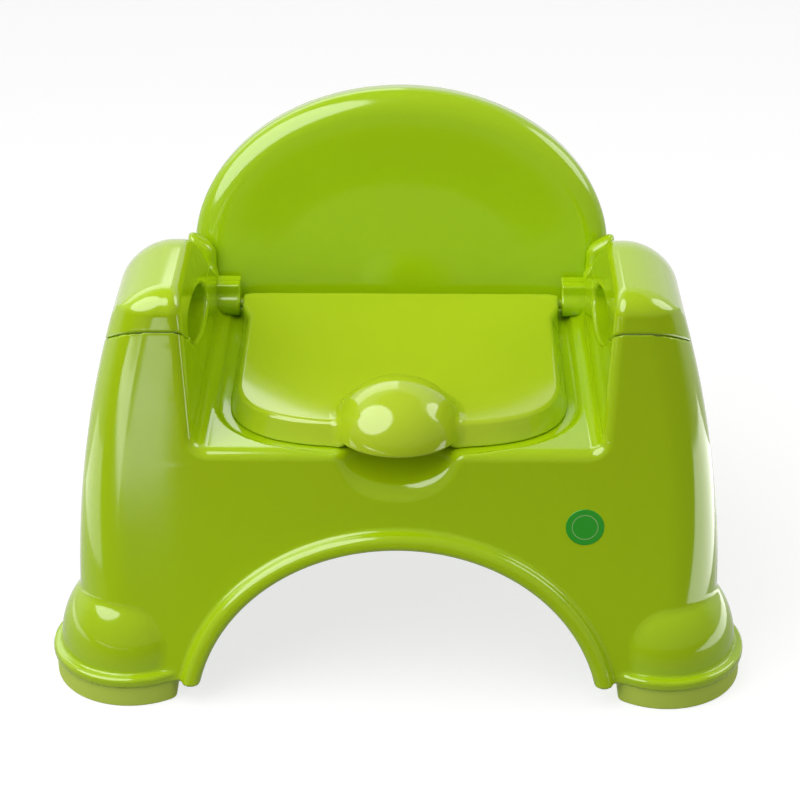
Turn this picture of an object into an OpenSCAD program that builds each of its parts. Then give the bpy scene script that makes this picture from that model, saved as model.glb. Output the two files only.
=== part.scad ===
// Potty training chair: a moulded seat body on four feet, with arm caps, a plug-in backrest,
// a hinged lid and a bowl that slides out at the rear. Millimetres, +Z up, the front faces -Y,
// and the origin is on the floor under the middle of the chair.

/* [Body] */
// Height of the seat above the floor
seat_h = 146; // [138:1:156]
// Half the width over the side walls at their widest
body_hw = 179; // [174:1:186]
// How far a side wall has drawn in at the arm seam
side_draw = 26; // [22:1:28]
// Height at which the side walls start to draw in
bulge_z = 45; // [35:1:60]
// Reach of the front wall ahead of the middle, at arm height
front_y = 108; // [104:1:114]
// Further reach of the front wall at its lower edge
front_flare = 30; // [22:1:34]
// Reach of the rear wall behind the middle, at arm height
rear_y = 112; // [108:1:118]
// Further reach of the rear wall at its lower edge
rear_flare = 22; // [16:1:28]
// Upright corner radius at the foot line
corner_low = 34; // [28:1:38]
// Upright corner radius at the arms
corner_high = 22; // [18:1:24]
// Thickness of the moulded walls
wall = 3.5; // [2.5:0.1:4.5]

/* [Seat] */
// Half the clear width between the arms at seat height
inner_hw = 110; // [106:1:113]
// Lean of the arms' inner walls, outwards per unit of height
inner_lean = 0.08; // [0.04:0.01:0.1]
// Fillet between the seat and the arms
seat_fillet = 12; // [8:1:14]
// Rounding of the seat's front and rear edges
seat_edge_r = 7; // [5:0.5:9]
// Rounding of the upright edges where the arms meet the front
arm_edge_r = 8; // [6:0.5:9]
// Depth of the shallow tray that the lid lies in
tray_depth = 2.5; // [1.5:0.5:3]
// Room between the lid and the edge of the tray
tray_gap = 7; // [5:0.5:9]
// Radius of the seat opening over the bowl
hole_r = 66; // [60:1:68]
// Place of the seat opening behind the middle
hole_y = -14; // [-18:1:-8]
// Drop of the drip collar below the seat's top
collar_drop = 12; // [8:0.5:13]
// Half the width of the finger scoop in the seat's front edge
scoop_hw = 33; // [26:1:36]
// Depth of the finger scoop below the seat
scoop_depth = 29; // [20:1:32]
// Reach of the finger scoop into the seat from the front edge
scoop_reach = 14; // [8:1:16]

/* [Arms] */
// Height of the arm seam above the seat, at the front
seam_h = 69; // [66:1:71]
// Drop of the seam behind the arm front, to its level part
seam_dip = 25; // [23:0.5:27]
// Length over which the seam drops
seam_run = 45; // [38:1:50]
// Height of the arms' crown above the seat
arm_h = 87; // [84:1:92]
// Drop of the arm top from its crown to the rear shoulder
arm_drop = 70; // [62:1:72]
// Length of the rounding from the arm front to the crown
arm_front_run = 33; // [26:1:38]
// Height of the rounding from the arm front to the crown
arm_front_rise = 21; // [16:1:24]
// Length of the arms' level top behind the rounding
arm_flat = 30; // [26:1:34]
// Rounding of the arms' outer top edge
arm_outer_r = 24; // [18:1:26]
// Rounding of the arms' inner top edge
arm_inner_r = 6; // [5:0.5:8]
// Length of the arm cap, from the front wall at arm height
cap_len = 140; // [136:1:142]
// Length of a hand-hold
grip_len = 76; // [70:1:78]
// Height of a hand-hold
grip_h = 25; // [20:1:27]
// Distance from the arm front to the hand-hold
grip_in = 44; // [40:1:46]
// Distance of a hand-hold's middle below the seam
grip_low = 1; // [0.5:0.5:4]
// Depth of a hand-hold into the arm
grip_depth = 20; // [14:1:22]

/* [Feet] */
// Distance of a foot's middle from the chair's middle, sideways
foot_x = 150; // [144:1:154]
// Distance of a foot's middle from the chair's middle, lengthways
foot_y = 99; // [94:1:104]
// Radius of a foot's flange
foot_r = 46; // [42:1:49]
// Height of a foot's flange
flange_h = 6; // [5:0.5:8]
// Step from the flange in to the foot's dome
flange_step = 5; // [3:0.5:6]
// Height of a foot's dome above the flange
dome_h = 49; // [42:1:54]
// Height of the foot pads, and of the wall's lower edge above the floor
pad_h = 13; // [10:1:16]
// Set-back of a pad from the foot's flange
pad_set = 1.5; // [1:0.5:3]
// Height of the plug that holds a pad in its foot
pad_plug_h = 6; // [4:1:8]

/* [Arches] */
// Half the span of the front arch at its spring line
arch_hw = 112; // [100:1:116]
// Height of the arches above the floor
arch_top = 90; // [80:1:96]
// Depth below the floor of the arches' spring line
arch_sink = 7; // [4:1:12]
// Half the span of a side arch
side_arch_hw = 66; // [58:1:70]
// Room beside the bowl's flange in the rear opening
rear_open_gap = 12; // [9:1:14]
// Drop of the rear opening's top below the seat's underside
rear_open_drop = 4; // [3:0.5:6]
// Corner radius of the rear opening
rear_open_r = 18; // [10:1:24]
// Width of the bead round the openings
bead_w = 10; // [8:0.5:11]
// How far the bead stands out of the wall
bead_out = 5.5; // [4:0.5:6]

/* [Backrest] */
// Half the width of the backrest
back_hw = 126; // [120:1:128]
// Length of the backrest along its lean
back_len = 131; // [124:1:138]
// Length of the straight sides below the rounded top
back_straight = 33; // [28:1:38]
// Lean of the backrest
back_lean = 12; // [8:1:15]
// Place of the backrest's face at seat height
back_y = 72; // [71:0.5:75]
// Depth of the backrest's rolled rim
rim_depth = 24; // [18:1:26]
// Width of the rolled rim seen from the front
rim_w = 18; // [14:1:22]
// Dish of the backrest's face behind its rim
back_dish = 3.5; // [2:0.5:5]
// Thickness of the backrest panel
back_wall = 3.2; // [2.5:0.1:4]
// Spacing of the ribs behind the backrest
back_rib_x = 32; // [28:1:36]
// Height of the posts above the arm shoulders
post_rise = 31; // [27:1:34]
// Rounding of a post's upright edges
post_r = 5; // [4:0.5:6]
// Width of a post between its rounded edges
post_w = 10; // [8:0.5:11]
// Length of a post between its rounded edges
post_l = 10; // [7:0.5:12]
// Fall of a post's top towards the seat
post_slope = 9; // [5:0.5:12]

/* [Lid] */
// Room between the lid and the arms' inner walls
lid_gap = 15; // [14:1:18]
// Reach of the lid's front edge ahead of the middle
lid_front = 105; // [100:1:106]
// Reach of the lid's rear edge behind the middle
lid_rear = 66; // [65:0.5:67]
// Height of the lid's top above the seat
lid_rise = 11; // [9:0.5:13]
// Thickness of the lid
lid_wall = 2.5; // [2:0.1:3]
// Rounding of the lid's top edge
lid_edge_r = 6; // [4:0.5:7]
// Depth of the ribs under the lid
lid_rib_h = 7; // [5:0.5:8]
// Spacing of the lid's lengthways ribs
lid_rib_x = 40; // [34:1:46]
// Spacing of the lid's cross ribs
lid_rib_y = 20; // [16:1:24]
// Length of the rounded front part of the lid
lid_nose = 58; // [50:1:66]
// Half the width of the dome over the splash guard
dome_hw = 35; // [32:1:38]
// Half the length of the dome
dome_hl = 33; // [30:1:35]
// Rise of the dome above the lid
dome_rise = 20; // [17:1:23]
// Place of the dome's middle ahead of the chair's middle
dome_y = 90; // [88:1:93]

/* [Hinge] */
// Place of the hinge axis behind the middle
hinge_y = 61; // [60:0.5:61.5]
// Height of the hinge axis above the seat
hinge_rise = 6; // [6:0.5:7]
// Radius of the hinge pins
pin_r = 3; // [2.5:0.1:3.5]
// Radial clearance of a pin in its block
pin_gap = 0.06; // [0.03:0.01:0.09]
// Width of a hinge block
block_w = 15; // [12:0.5:15.5]
// Radius of a hinge block round its bore
block_r = 8.5; // [7:0.5:8.8]
// Height of a hinge block above the seat
block_h = 23; // [20:1:25]
// Length of a pin inside the lid
pin_in_lid = 12; // [9:1:15]

/* [Bowl] */
// Width of the bowl's flange beside the bowl
flange_w = 11; // [10:0.5:12]
// How far the flange's front edge is drawn back from the finger scoop
flange_cut = 4; // [3.5:0.5:6]
// Thickness of the flange and of the bowl's wall
bowl_wall = 3; // [2.5:0.1:3.5]
// Drop of the bowl's flange below the seat's top
bowl_drop = 15; // [14.5:0.5:17]
// Outer radius of the bowl under its flange
bowl_r = 73; // [70:1:74]
// Outer radius of the bowl at its foot
bowl_foot_r = 52; // [46:1:58]
// Depth of the bowl below its flange
bowl_depth = 66; // [56:1:70]
// Rounding of the bowl's foot
bowl_foot_edge = 6; // [4:0.5:8]
// Length of the pull at the bowl's rear
pull_len = 17; // [12:1:20]
// Half the width of the pull
pull_hw = 28; // [22:1:34]
// Drop of the pull's lip
pull_drop = 12; // [8:1:16]
// Running gap between the flange and its rails
rail_gap = 0.4; // [0.3:0.1:0.8]
// Thickness of the rails
rail_t = 4; // [3:0.5:4.5]
// Width of the ledge that carries the flange
ledge_w = 9; // [7:0.5:9.5]
// Width of the tab that screws a rail to the seat
rail_tab = 13; // [12:0.5:14]
// Height of the splash guard above the seat
guard_h = 18; // [12:1:20]
// Thickness of the splash guard
guard_t = 2.5; // [2:0.1:3]
// Angle that the splash guard spans round the opening
guard_angle = 32; // [24:1:36]
// Set-back of the splash guard from the opening's edge
guard_set = 1; // [0.5:0.5:2]
// Width of the splash guard's foot
guard_foot = 7; // [5:0.5:8]

/* [Fasteners] */
// Radius of a screw's shank
screw_r = 1.9; // [1.5:0.1:2.2]
// Radius of a screw's head
screw_head_r = 3.8; // [3:0.1:4.2]
// Height of a screw's head
screw_head_h = 2.6; // [2:0.1:3]
// Clearance of a screw's shank in its hole
screw_slip = 0.1; // [0.05:0.01:0.2]
// Radius of a screw boss
boss_r = 5; // [4.6:0.1:5.6]
// Bite of the cap screws in their bosses
cap_bite = 6.5; // [5.5:0.5:7]
// Bite of the backrest screws in their bosses
back_bite = 16; // [12:0.5:18]
// Bite of the rail screws in the seat
rail_bite = 2.4; // [2:0.1:2.6]
// Room between a hand-hold's lining and the bosses of the cap screws
cap_boss_gap = 1.5; // [1:0.5:3]
// Distance of the backrest screws from the middle
back_boss_x = 62; // [56:1:68]
// Distance of the backrest screws behind its face
back_screw_in = 14; // [12:0.5:15]
// Spacing of the rail screws
rail_screw_step = 70; // [60:1:74]
// Thickness of the stiffening ribs
rib_t = 2.2; // [1.6:0.1:2.8]

/* [Sticker] */
// Radius of the round sticker on the front
sticker_r = 10.5; // [8:0.5:12]
// Thickness of the sticker
sticker_t = 0.7; // [0.6:0.1:0.9]
// Depth of the recess that the sticker lies in
sticker_sink = 0.5; // [0.4:0.1:0.5]
// Place of the sticker beside the middle
sticker_x = 102; // [96:1:108]
// Height of the sticker's middle
sticker_z = 103; // [98:1:112]

/* [Hidden] */
$fn = 40;
lime = "yellowgreen";
far = 400;
clear = 0.3;
seam_z = seat_h + seam_h;
arm_peak_z = seat_h + arm_h;
lid_hw = inner_hw - lid_gap;
flange_hw = bowl_r + flange_w;
rear_open_hw = flange_hw + rear_open_gap;
post_x = inner_hw + 7;
post_y = back_y - post_l + 3;
hinge_z = seat_h + hinge_rise;
span = front_y + rear_y;
fall_len = span - 2 * arm_front_run - arm_flat;
shoulder_z = arm_peak_z - arm_drop;
grip_y = -front_y + grip_in + grip_len / 2;
block_out = post_x - post_r;
block_in = block_out - block_w;
tray_z = seat_h - tray_depth;
lid_top = seat_h + lid_rise;
lid_low = tray_z + clear;
flange_top = seat_h - bowl_drop;
ledge_top = flange_top - bowl_wall - rail_gap;
rail_in = flange_hw + rail_gap;
deck_low = tray_z - wall;
rear_open_top = deck_low - rear_open_drop;
back_boss_y = back_y + back_screw_in;
arm_hw = (side_x(seam_z) - inner_hw) / 2;
cap_boss_x = inner_hw + arm_hw;
cap_boss_off = grip_len / 2 + wall + cap_boss_gap + boss_r;
cap_boss_y = [grip_y - cap_boss_off, grip_y + cap_boss_off];
rail_front = hole_y - flange_hw + rail_t;
rail_rear = rear_y - corner_high / 4;
rail_screw_y = [-rail_screw_step, 0, rail_screw_step];
rail_screw_x = rail_in + (rail_t + rail_tab) / 2;
hole_fn = 16;

// Outline of the body, all from the driving sizes
function clamp01(t) = max(0, min(1, t));
function rounding(d, r) = d >= r ? 0 : d <= 0 ? r : r - sqrt(r * r - (r - d) * (r - d));
function side_x(z) =
    body_hw - (z < bulge_z ? 0 : side_draw * pow((z - bulge_z) / (seam_z - bulge_z), 2));
function flare(z) = pow((arm_peak_z - z) / (arm_peak_z - pad_h), 2);
function front_at(z) = -front_y - front_flare * flare(z);
function rear_at(z) = rear_y + rear_flare * flare(z);
function corner_r(z) =
    corner_low + (corner_high - corner_low) * clamp01((z - pad_h) / (seam_z - pad_h));
function fall(t) = t * t * (2.2 - 1.2 * t);

// Height of the arm's top, at a distance behind the front wall
function arm_top(d, inset) =
    let (
        run = arm_front_run - inset,
        rise = arm_front_rise - inset,
        u = clamp01((run - d + inset) / run)
    )
    d < arm_front_run
        ? arm_peak_z - inset - rise * (1 - sqrt(1 - u * u))
        : arm_peak_z - inset - arm_drop * fall(clamp01((d - arm_front_run - arm_flat) / fall_len));

// Right half of the body's cross-section, from the middle of the seat out to the wall's lower edge
function half_section(d, inset, low, arcs) =
    let (
        near = d - inset,
        away = span - d - inset,
        edge = rounding(near, seat_edge_r - inset) + rounding(away, seat_edge_r - inset),
        seat = seat_h - inset - edge - (inset > 0 ? tray_depth : 0),
        top = arm_top(d, inset) - rounding(away, arm_outer_r / 2),
        room = top - seat,
        fillet = min(seat_fillet + inset, 0.6 * room),
        x_in = inner_hw + inset + rounding(near, arm_edge_r - inset) + rounding(away, arm_edge_r - inset),
        inner_r = min(arm_inner_r - inset, 0.35 * room),
        x_top = x_in + inner_lean * (top - inner_r - seat),
        x_out = section_x(near, away, top, inset),
        outer_r = max(1, min(arm_outer_r - inset, x_out - x_top - inner_r - 0.5)),
        foot = top - outer_r
    )
    concat(
        [[0, seat]],
        [for (a = [-90 : 90 / arcs : 0])
            [x_in - fillet + fillet * cos(a), seat + fillet + fillet * sin(a)]],
        [for (a = [180 : -90 / (arcs - 1) : 90])
            [x_top + inner_r + inner_r * cos(a), top - inner_r + inner_r * sin(a)]],
        [for (a = [90 : -90 / (arcs + 1) : 0])
            [section_x(near, away, foot, inset) - outer_r + outer_r * cos(a), foot + outer_r * sin(a)]],
        [for (k = [1 : 4])
            let (z = foot + (low - foot) * k / 4) [section_x(near, away, z, inset), z]]
    );

function section_x(near, away, z, inset) =
    side_x(z) - inset
    - rounding(near, corner_r(z) - inset) - rounding(away, corner_r(z) - inset);

function station_y(d, z) =
    d < 0 ? -far / 2 : d > span ? far / 2 : front_at(z) + (rear_at(z) - front_at(z)) * d / span;

// Closed solid through rings of points that all have the same count
module loft(rings) {
    n = len(rings[0]);
    last = len(rings) - 1;
    points = [for (ring = rings, p = ring) p];
    sides = [
        for (k = [0 : last - 1], i = [0 : n - 1])
            let (j = (i + 1) % n, a = k * n + i, b = k * n + j)
            each [[a, a + n, b], [b, a + n, b + n]]
    ];
    ends = [[for (i = [0 : n - 1]) i], [for (i = [n - 1 : -1 : 0]) last * n + i]];
    polyhedron(points, concat(sides, ends));
}

// The body's outer form, or with an inset its hollow
module body_form(inset, low) {
    fine = abs(inset) < 1;
    arcs = fine ? 4 : 2;
    steps = fine ? [-0.6, 1.5, 4, 9, 17, 28, 42] : [-0.6, 4, 12, 30];
    crown = arm_peak_z + wall;
    heights = [for (k = [0 : 9]) low + (crown - low) * k / 9];
    middle = [for (d = [70 : 20 : span - 60]) d];
    tail = [for (k = [len(steps) - 1 : -1 : 0]) span - inset - steps[k]];
    stations = concat([-1], [for (d = steps) d + inset], middle, tail, [span + 1]);
    intersection() {
        loft([
            for (d = stations)
                let (half = half_section(d, inset, low, arcs), n = len(half))
                concat(
                    [for (p = half) [p[0], station_y(d, p[1]), p[1]]],
                    [for (k = [n - 1 : -1 : 1]) [-half[k][0], station_y(d, half[k][1]), half[k][1]]]
                )
        ]);
        rotate([90, 0, 90]) linear_extrude(far + far, center = true)
            polygon(concat(
                [for (z = heights) [front_at(z) + inset, z]],
                [for (k = [9 : -1 : 0]) [rear_at(heights[k]) - inset, heights[k]]]
            ));
    }
}

module at_feet() {
    for (x = [-foot_x, foot_x], y = [-foot_y, foot_y])
        translate([x, y, 0]) children();
}

// Bell-shaped foot on its flange, or with an inset its hollow
module foot_bell(inset, low) {
    ring = foot_r - inset;
    r = ring - flange_step;
    top = pad_h + flange_h - inset;
    turn = inset > 0 ? 45 : 22.5;
    rotate_extrude($fn = 28)
        polygon(concat(
            [[0, low], [ring, low], [ring, top - 2], [ring - 2, top], [r, top]],
            [for (a = [turn : turn : 90]) [r * cos(a), top + dome_h * sin(a)]]
        ));
}

module ellipse(hw, hh, step) {
    polygon([for (a = [0 : step : 360 - step]) [hw * cos(a), hh * sin(a)]]);
}

module rounded_gate(hw, top, r) {
    polygon(concat(
        [[-hw, -pad_h], [hw, -pad_h]],
        [for (a = [0 : 15 : 90]) [hw - r + r * cos(a), top - r + r * sin(a)]],
        [for (a = [90 : 15 : 180]) [-hw + r + r * cos(a), top - r + r * sin(a)]]
    ));
}

// The openings under the chair, grown for their beads
module front_arch(grow) {
    translate([0, -foot_y / 2, -arch_sink]) rotate([90, 0, 0]) linear_extrude(far / 2)
        ellipse(arch_hw + grow, arch_top + arch_sink + grow, 9);
}

module side_arches(grow) {
    for (side = [-1, 1])
        translate([side * (foot_x - foot_r / 2), 0, -arch_sink])
            rotate([90, 0, side * 90]) linear_extrude(far / 2)
                ellipse(side_arch_hw + grow, arch_top + arch_sink + grow, 12);
}

module rear_gate(grow) {
    top = min(rear_open_top + grow, deck_low);
    translate([0, foot_y - foot_r / 2, 0]) rotate([-90, 0, 0]) mirror([0, 1, 0]) linear_extrude(far / 2)
        rounded_gate(rear_open_hw + grow, top, rear_open_r);
}

module arches(grow) {
    front_arch(grow);
    side_arches(grow);
    rear_gate(grow);
}

// Hand-holds in the arms' inner faces, grown for their linings
module grips(grow) {
    high = seam_at(grip_y) - grip_low;
    from = inner_hw - grip_depth;
    to = inner_hw + inner_lean * (high - seat_h) + grip_depth + grow;
    for (side = [-1, 1])
        translate([side > 0 ? from : -to, grip_y, high]) rotate([0, 90, 0])
            linear_extrude(to - from) ellipse(grip_h / 2 + grow, grip_len / 2 + grow, 18);
}

// Height of the arm seam at a place along the chair: it drops behind the arm front and then runs level
function seam_at(y) = seam_z - seam_dip * (1 - pow(1 - clamp01((y + front_y) / seam_run), 2));

// Height of the foot of a cap screw's boss, which clears the seam over the whole boss
function boss_foot(y) = seam_at(y + boss_r + wall / 2);

// Everything above the arm seams, back to the end of the caps
module cap_zone() {
    back = cap_len - front_y;
    rotate([90, 0, 90]) linear_extrude(far + far, center = true)
        polygon(concat(
            [[-far / 2, seam_z]],
            [for (t = [0 : 0.125 : 1]) let (y = t * seam_run - front_y) [y, seam_at(y)]],
            [[back, seam_at(back)], [back, far], [-far / 2, far]]
        ));
}

// Posts that cradle the backrest's lower corners, sloping down inwards
module posts(grow) {
    high = shoulder_z + post_rise - seat_h + grow;
    for (side = [-1, 1])
        hull() for (x = [0, post_w], y = [0, post_l])
            translate([side * (post_x + x), post_y + y, seat_h])
                cylinder(h = x > 0 ? high : high - post_slope, r = post_r + grow, $fn = hole_fn);
}

// Space that each hinge block takes on the seat
module block_outline(grow) {
    y_back = back_y - 0.5 + grow;
    union() {
        translate([hinge_y, hinge_z]) circle(block_r + grow);
        translate([hinge_y - block_r - grow, tray_z])
            square([block_r + grow, hinge_z - tray_z]);
        translate([hinge_y, tray_z]) square([y_back - hinge_y, seat_h + block_h + grow - tray_z]);
        translate([hinge_y - block_r / 2, hinge_z])
            square([block_r / 2, seat_h + block_h + grow - hinge_z]);
    }
}

module block_spaces(grow) {
    for (side = [-1, 1])
        translate([side * (block_in + block_out) / 2, 0, 0])
            rotate([90, 0, 90]) linear_extrude(block_w + 2 * grow, center = true) block_outline(grow);
}

// Outline of the lid: straight rear and sides, and a rounded nose
function lid_outline(grow) =
    let (
        hw = lid_hw + grow,
        nose = lid_nose + grow,
        y0 = lid_nose - lid_front,
        r = lid_edge_r + grow,
        p = 0.62
    )
    concat(
        [for (a = [180 : 12 : 360])
            [hw * sign(cos(a)) * pow(abs(cos(a)), p), y0 - nose * pow(abs(sin(a)), p * 1.3)]],
        [for (a = [0 : 30 : 90]) [hw - r + r * cos(a), lid_rear + grow - r + r * sin(a)]],
        [for (a = [90 : 30 : 180]) [-hw + r + r * cos(a), lid_rear + grow - r + r * sin(a)]]
    );

function raise(outline, z) = [for (p = outline) [p[0], p[1], z]];

module scoop(grow) {
    translate([0, front_at(seat_h), seat_h])
        scale([scoop_hw + grow, scoop_reach + grow, scoop_depth + grow]) sphere(1, $fn = 24);
}

// Floor of the sticker's recess, facing out of the front wall
module at_sticker() {
    slope = atan2(front_at(sticker_z + 1) - front_at(sticker_z - 1), 2);
    translate([sticker_x, front_at(sticker_z), sticker_z]) rotate([90 - slope, 0, 0])
        translate([0, 0, -sticker_sink]) children();
}

// Hole for a screw's shank
module pilot(h) {
    cylinder(h = h, r = screw_r + screw_slip, $fn = hole_fn);
}

module seat_cuts() {
    translate([0, 0, tray_z]) linear_extrude(far) polygon(lid_outline(tray_gap));
    translate([0, hole_y, deck_low - collar_drop - 1]) cylinder(h = far, r = hole_r);
    scoop(0);
    at_sticker() cylinder(h = wall, r = sticker_r + clear, $fn = 24);
    block_spaces(0, $fn = hole_fn);
    for (x = [-1, 1]) translate([x * back_boss_x, back_boss_y, deck_low - wall]) pilot(far);
    for (x = [-1, 1], y = rail_screw_y)
        translate([x * rail_screw_x, y, deck_low - wall]) pilot(wall + rail_bite + clear);
}

// Two ribs inside each foot, from over its pad out to the bell
module foot_ribs() {
    low = pad_h + pad_plug_h + clear;
    intersection() {
        at_feet() foot_bell(wall / 2, pad_h);
        for (x = [-1, 1], y = [-1, 1], out = [[x, 0], [0, y]])
            translate([x * foot_x, y * foot_y, low])
                hull() for (at = [[0, 0], foot_r * out])
                    translate(at) cylinder(h = dome_h / 2, d = rib_t, $fn = 8);
    }
}

// Webs under the arm seam that the cap screws go through
module screw_webs() {
    for (side = [-1, 1], y = cap_boss_y)
        translate([side * cap_boss_x, y, boss_foot(y) - wall - clear]) difference() {
            translate([-arm_hw - wall, -boss_r - wall / 2, 0])
                cube([2 * (arm_hw + wall), 2 * boss_r + wall, wall]);
            translate([0, 0, -wall]) pilot(3 * wall);
        }
}

// The whole moulding, arms and caps together, before it is split at the seam
module moulding() {
    difference() {
        union() {
            difference() {
                union() {
                    body_form(0, pad_h);
                    at_feet() foot_bell(0, pad_h);
                    posts(0);
                    intersection() {
                        body_form(-bead_out, pad_h);
                        arches(bead_w);
                    }
                }
                body_form(wall, pad_h - 1);
                at_feet() foot_bell(wall, pad_h - 1);
            }
            intersection() {
                body_form(wall / 2, pad_h);
                union() {
                    grips(wall);
                    scoop(wall);
                    screw_webs();
                }
            }
            foot_ribs();
            translate([0, hole_y, seat_h - collar_drop]) cylinder(h = collar_drop - 1, r = hole_r + wall);
        }
        grips(0);
        arches(0);
        seat_cuts();
    }
}

module base_shell() {
    color(lime) difference() {
        moulding();
        cap_zone();
    }
}

module arm_cap(side) {
    color(lime) difference() {
        union() {
            intersection() {
                moulding();
                cap_zone();
                translate([side > 0 ? 0 : -far, -far, 0]) cube([far, 2 * far, far]);
            }
            intersection() {
                body_form(wall / 2, pad_h);
                for (y = cap_boss_y) translate([side * cap_boss_x, y, boss_foot(y)]) {
                    cylinder(h = arm_peak_z, r = boss_r, $fn = hole_fn);
                    for (turn = [0 : 90 : 270]) rotate(turn) hull() {
                        for (at = [[0, 0, rib_t], [2 * boss_r, 0, 2 * boss_r]])
                            translate(at) cylinder(h = arm_peak_z, d = rib_t, $fn = 8);
                    }
                }
            }
        }
        for (y = cap_boss_y)
            translate([side * cap_boss_x, y, boss_foot(y) - wall]) pilot(wall + cap_bite + clear);
        grips(0);
    }
}

// Outline of the backrest, drawn in by an inset: straight sides under a half-ellipse
function back_outline(inset) =
    let (hw = back_hw - inset, rise = back_len - back_straight, k = (back_len - inset) / back_len)
    concat(
        [[hw, 0]],
        [for (a = [0 : 7.5 : 180]) [hw * cos(a), (back_straight + rise * sin(a)) * k]],
        [[-hw, 0]]
    );

module backrest_panel() {
    w = back_wall;
    face = [
        [back_hw * 0.55, back_dish], [rim_w * 2, back_dish * 0.9], [rim_w * 1.4, back_dish * 0.5],
        [rim_w, 0.4], [rim_w * 0.7, 0], [rim_w * 0.4, 0.8], [rim_w * 0.18, 3], [rim_w * 0.04, 6.5],
        [0, 11], [0, rim_depth]
    ];
    rear = [
        [w, rim_depth], [w, 11], [rim_w * 0.5, 5.5], [rim_w, w + 0.5],
        [rim_w * 1.6, back_dish + w], [back_hw * 0.55, back_dish + w]
    ];
    steps = concat(face, rear);
    loft([
        for (k = [len(steps) - 1 : -1 : 0]) [for (p = back_outline(steps[k][0])) [p[0], steps[k][1], p[1]]]
    ]);
}

// Rib of a given length, upright or lying, between two depths behind the backrest's face
module back_rib(at, turn, len, deep) {
    hull() for (y = [back_dish + back_wall / 2, deep])
        translate([at[0], y, at[1]]) rotate(turn) cylinder(h = len, d = rib_t, $fn = 8);
}

module backrest() {
    reach = 5 / 2 * back_rib_x;
    color(lime) difference() {
        union() {
            difference() {
                translate([0, back_y, seat_h + clear]) rotate([-back_lean, 0, 0]) union() {
                    backrest_panel();
                    for (x = [-reach : back_rib_x : reach])
                        back_rib([x, rib_t], [0, 0, 0], back_len * 0.6, rim_depth * 0.6);
                    for (z = [back_len * 0.3, back_len * 0.5])
                        back_rib([-reach, z], [0, 90, 0], 2 * reach, rim_depth * 0.5);
                }
                body_form(-clear, pad_h);
                posts(clear);
            }
            for (side = [-1, 1])
                translate([side * back_boss_x, back_boss_y, seat_h + clear])
                    cylinder(h = back_bite + 2 * wall, r = boss_r, $fn = hole_fn);
        }
        for (side = [-1, 1])
            translate([side * back_boss_x, back_boss_y, seat_h]) pilot(back_bite + clear);
    }
}

// The dome over the splash guard, or with an inset its hollow
module lid_dome(inset) {
    low = lid_low + 4;
    intersection() {
        translate([0, -dome_y, low])
            scale([dome_hw - inset, dome_hl - inset, lid_top + dome_rise - low - inset])
                sphere(1, $fn = inset > 0 ? 16 : 28);
        translate([-far / 2, -far / 2, low - (inset > 0 ? 1 : 0)]) cube(far);
    }
}

module lid() {
    ledge = lid_top - lid_edge_r;
    knuckle_r = lid_rear - hinge_y;
    outer = concat(
        [raise(lid_outline(0), lid_low)],
        [for (a = [0 : 22.5 : 90])
            raise(lid_outline(lid_edge_r * (cos(a) - 1)), ledge + lid_edge_r * sin(a))]
    );
    color(lime) difference() {
        union() {
            difference() {
                union() {
                    loft(outer);
                    lid_dome(0);
                }
                loft([
                    raise(lid_outline(-lid_wall), lid_low - wall),
                    raise(lid_outline(-lid_wall), ledge),
                    raise(lid_outline(-lid_edge_r), lid_top - lid_wall)
                ]);
                lid_dome(lid_wall);
            }
            intersection() {
                translate([0, 0, lid_top - lid_rib_h])
                    linear_extrude(lid_rib_h - lid_wall / 2) polygon(lid_outline(-lid_wall / 2));
                union() {
                    for (k = [-1.5 : 1.5]) lid_rib([[k * lid_rib_x, -lid_nose], [k * lid_rib_x, lid_nose]]);
                    for (k = [-1.5 : 1.5]) lid_rib([[-lid_hw, k * lid_rib_y], [lid_hw, k * lid_rib_y]]);
                }
            }
            for (side = [-1, 1])
                translate([side * (lid_hw - pin_in_lid / 2 - 1), hinge_y, hinge_z]) rotate([0, 90, 0])
                    cylinder(h = pin_in_lid + 2, r = knuckle_r, center = true, $fn = 24);
        }
        translate([-far / 2, hinge_y - block_r - wall, 0]) cube([far, far, hinge_z - knuckle_r]);
        for (side = [-1, 1])
            translate([side * lid_hw, hinge_y, hinge_z]) rotate([0, 90, 0])
                cylinder(h = 2 * pin_in_lid, r = pin_r + pin_gap / 2, center = true, $fn = 24);
    }
}

module lid_rib(ends) {
    hull() for (at = ends) translate(at) cylinder(h = far, d = rib_t, $fn = 6);
}

module lid_pin(side) {
    color(lime) translate([side * (lid_hw - pin_in_lid), hinge_y, hinge_z]) rotate([0, side * 90, 0])
        cylinder(h = pin_in_lid + block_out - rib_t - lid_hw, r = pin_r);
}

module hinge_block(side) {
    color(lime) translate([side * (block_in + block_out) / 2, 0, 0]) rotate([90, 0, 90])
        difference() {
            linear_extrude(block_w, center = true) block_outline(0);
            translate([hinge_y, hinge_z, 0]) cylinder(h = far, r = pin_r + pin_gap, center = true);
        }
}

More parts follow.
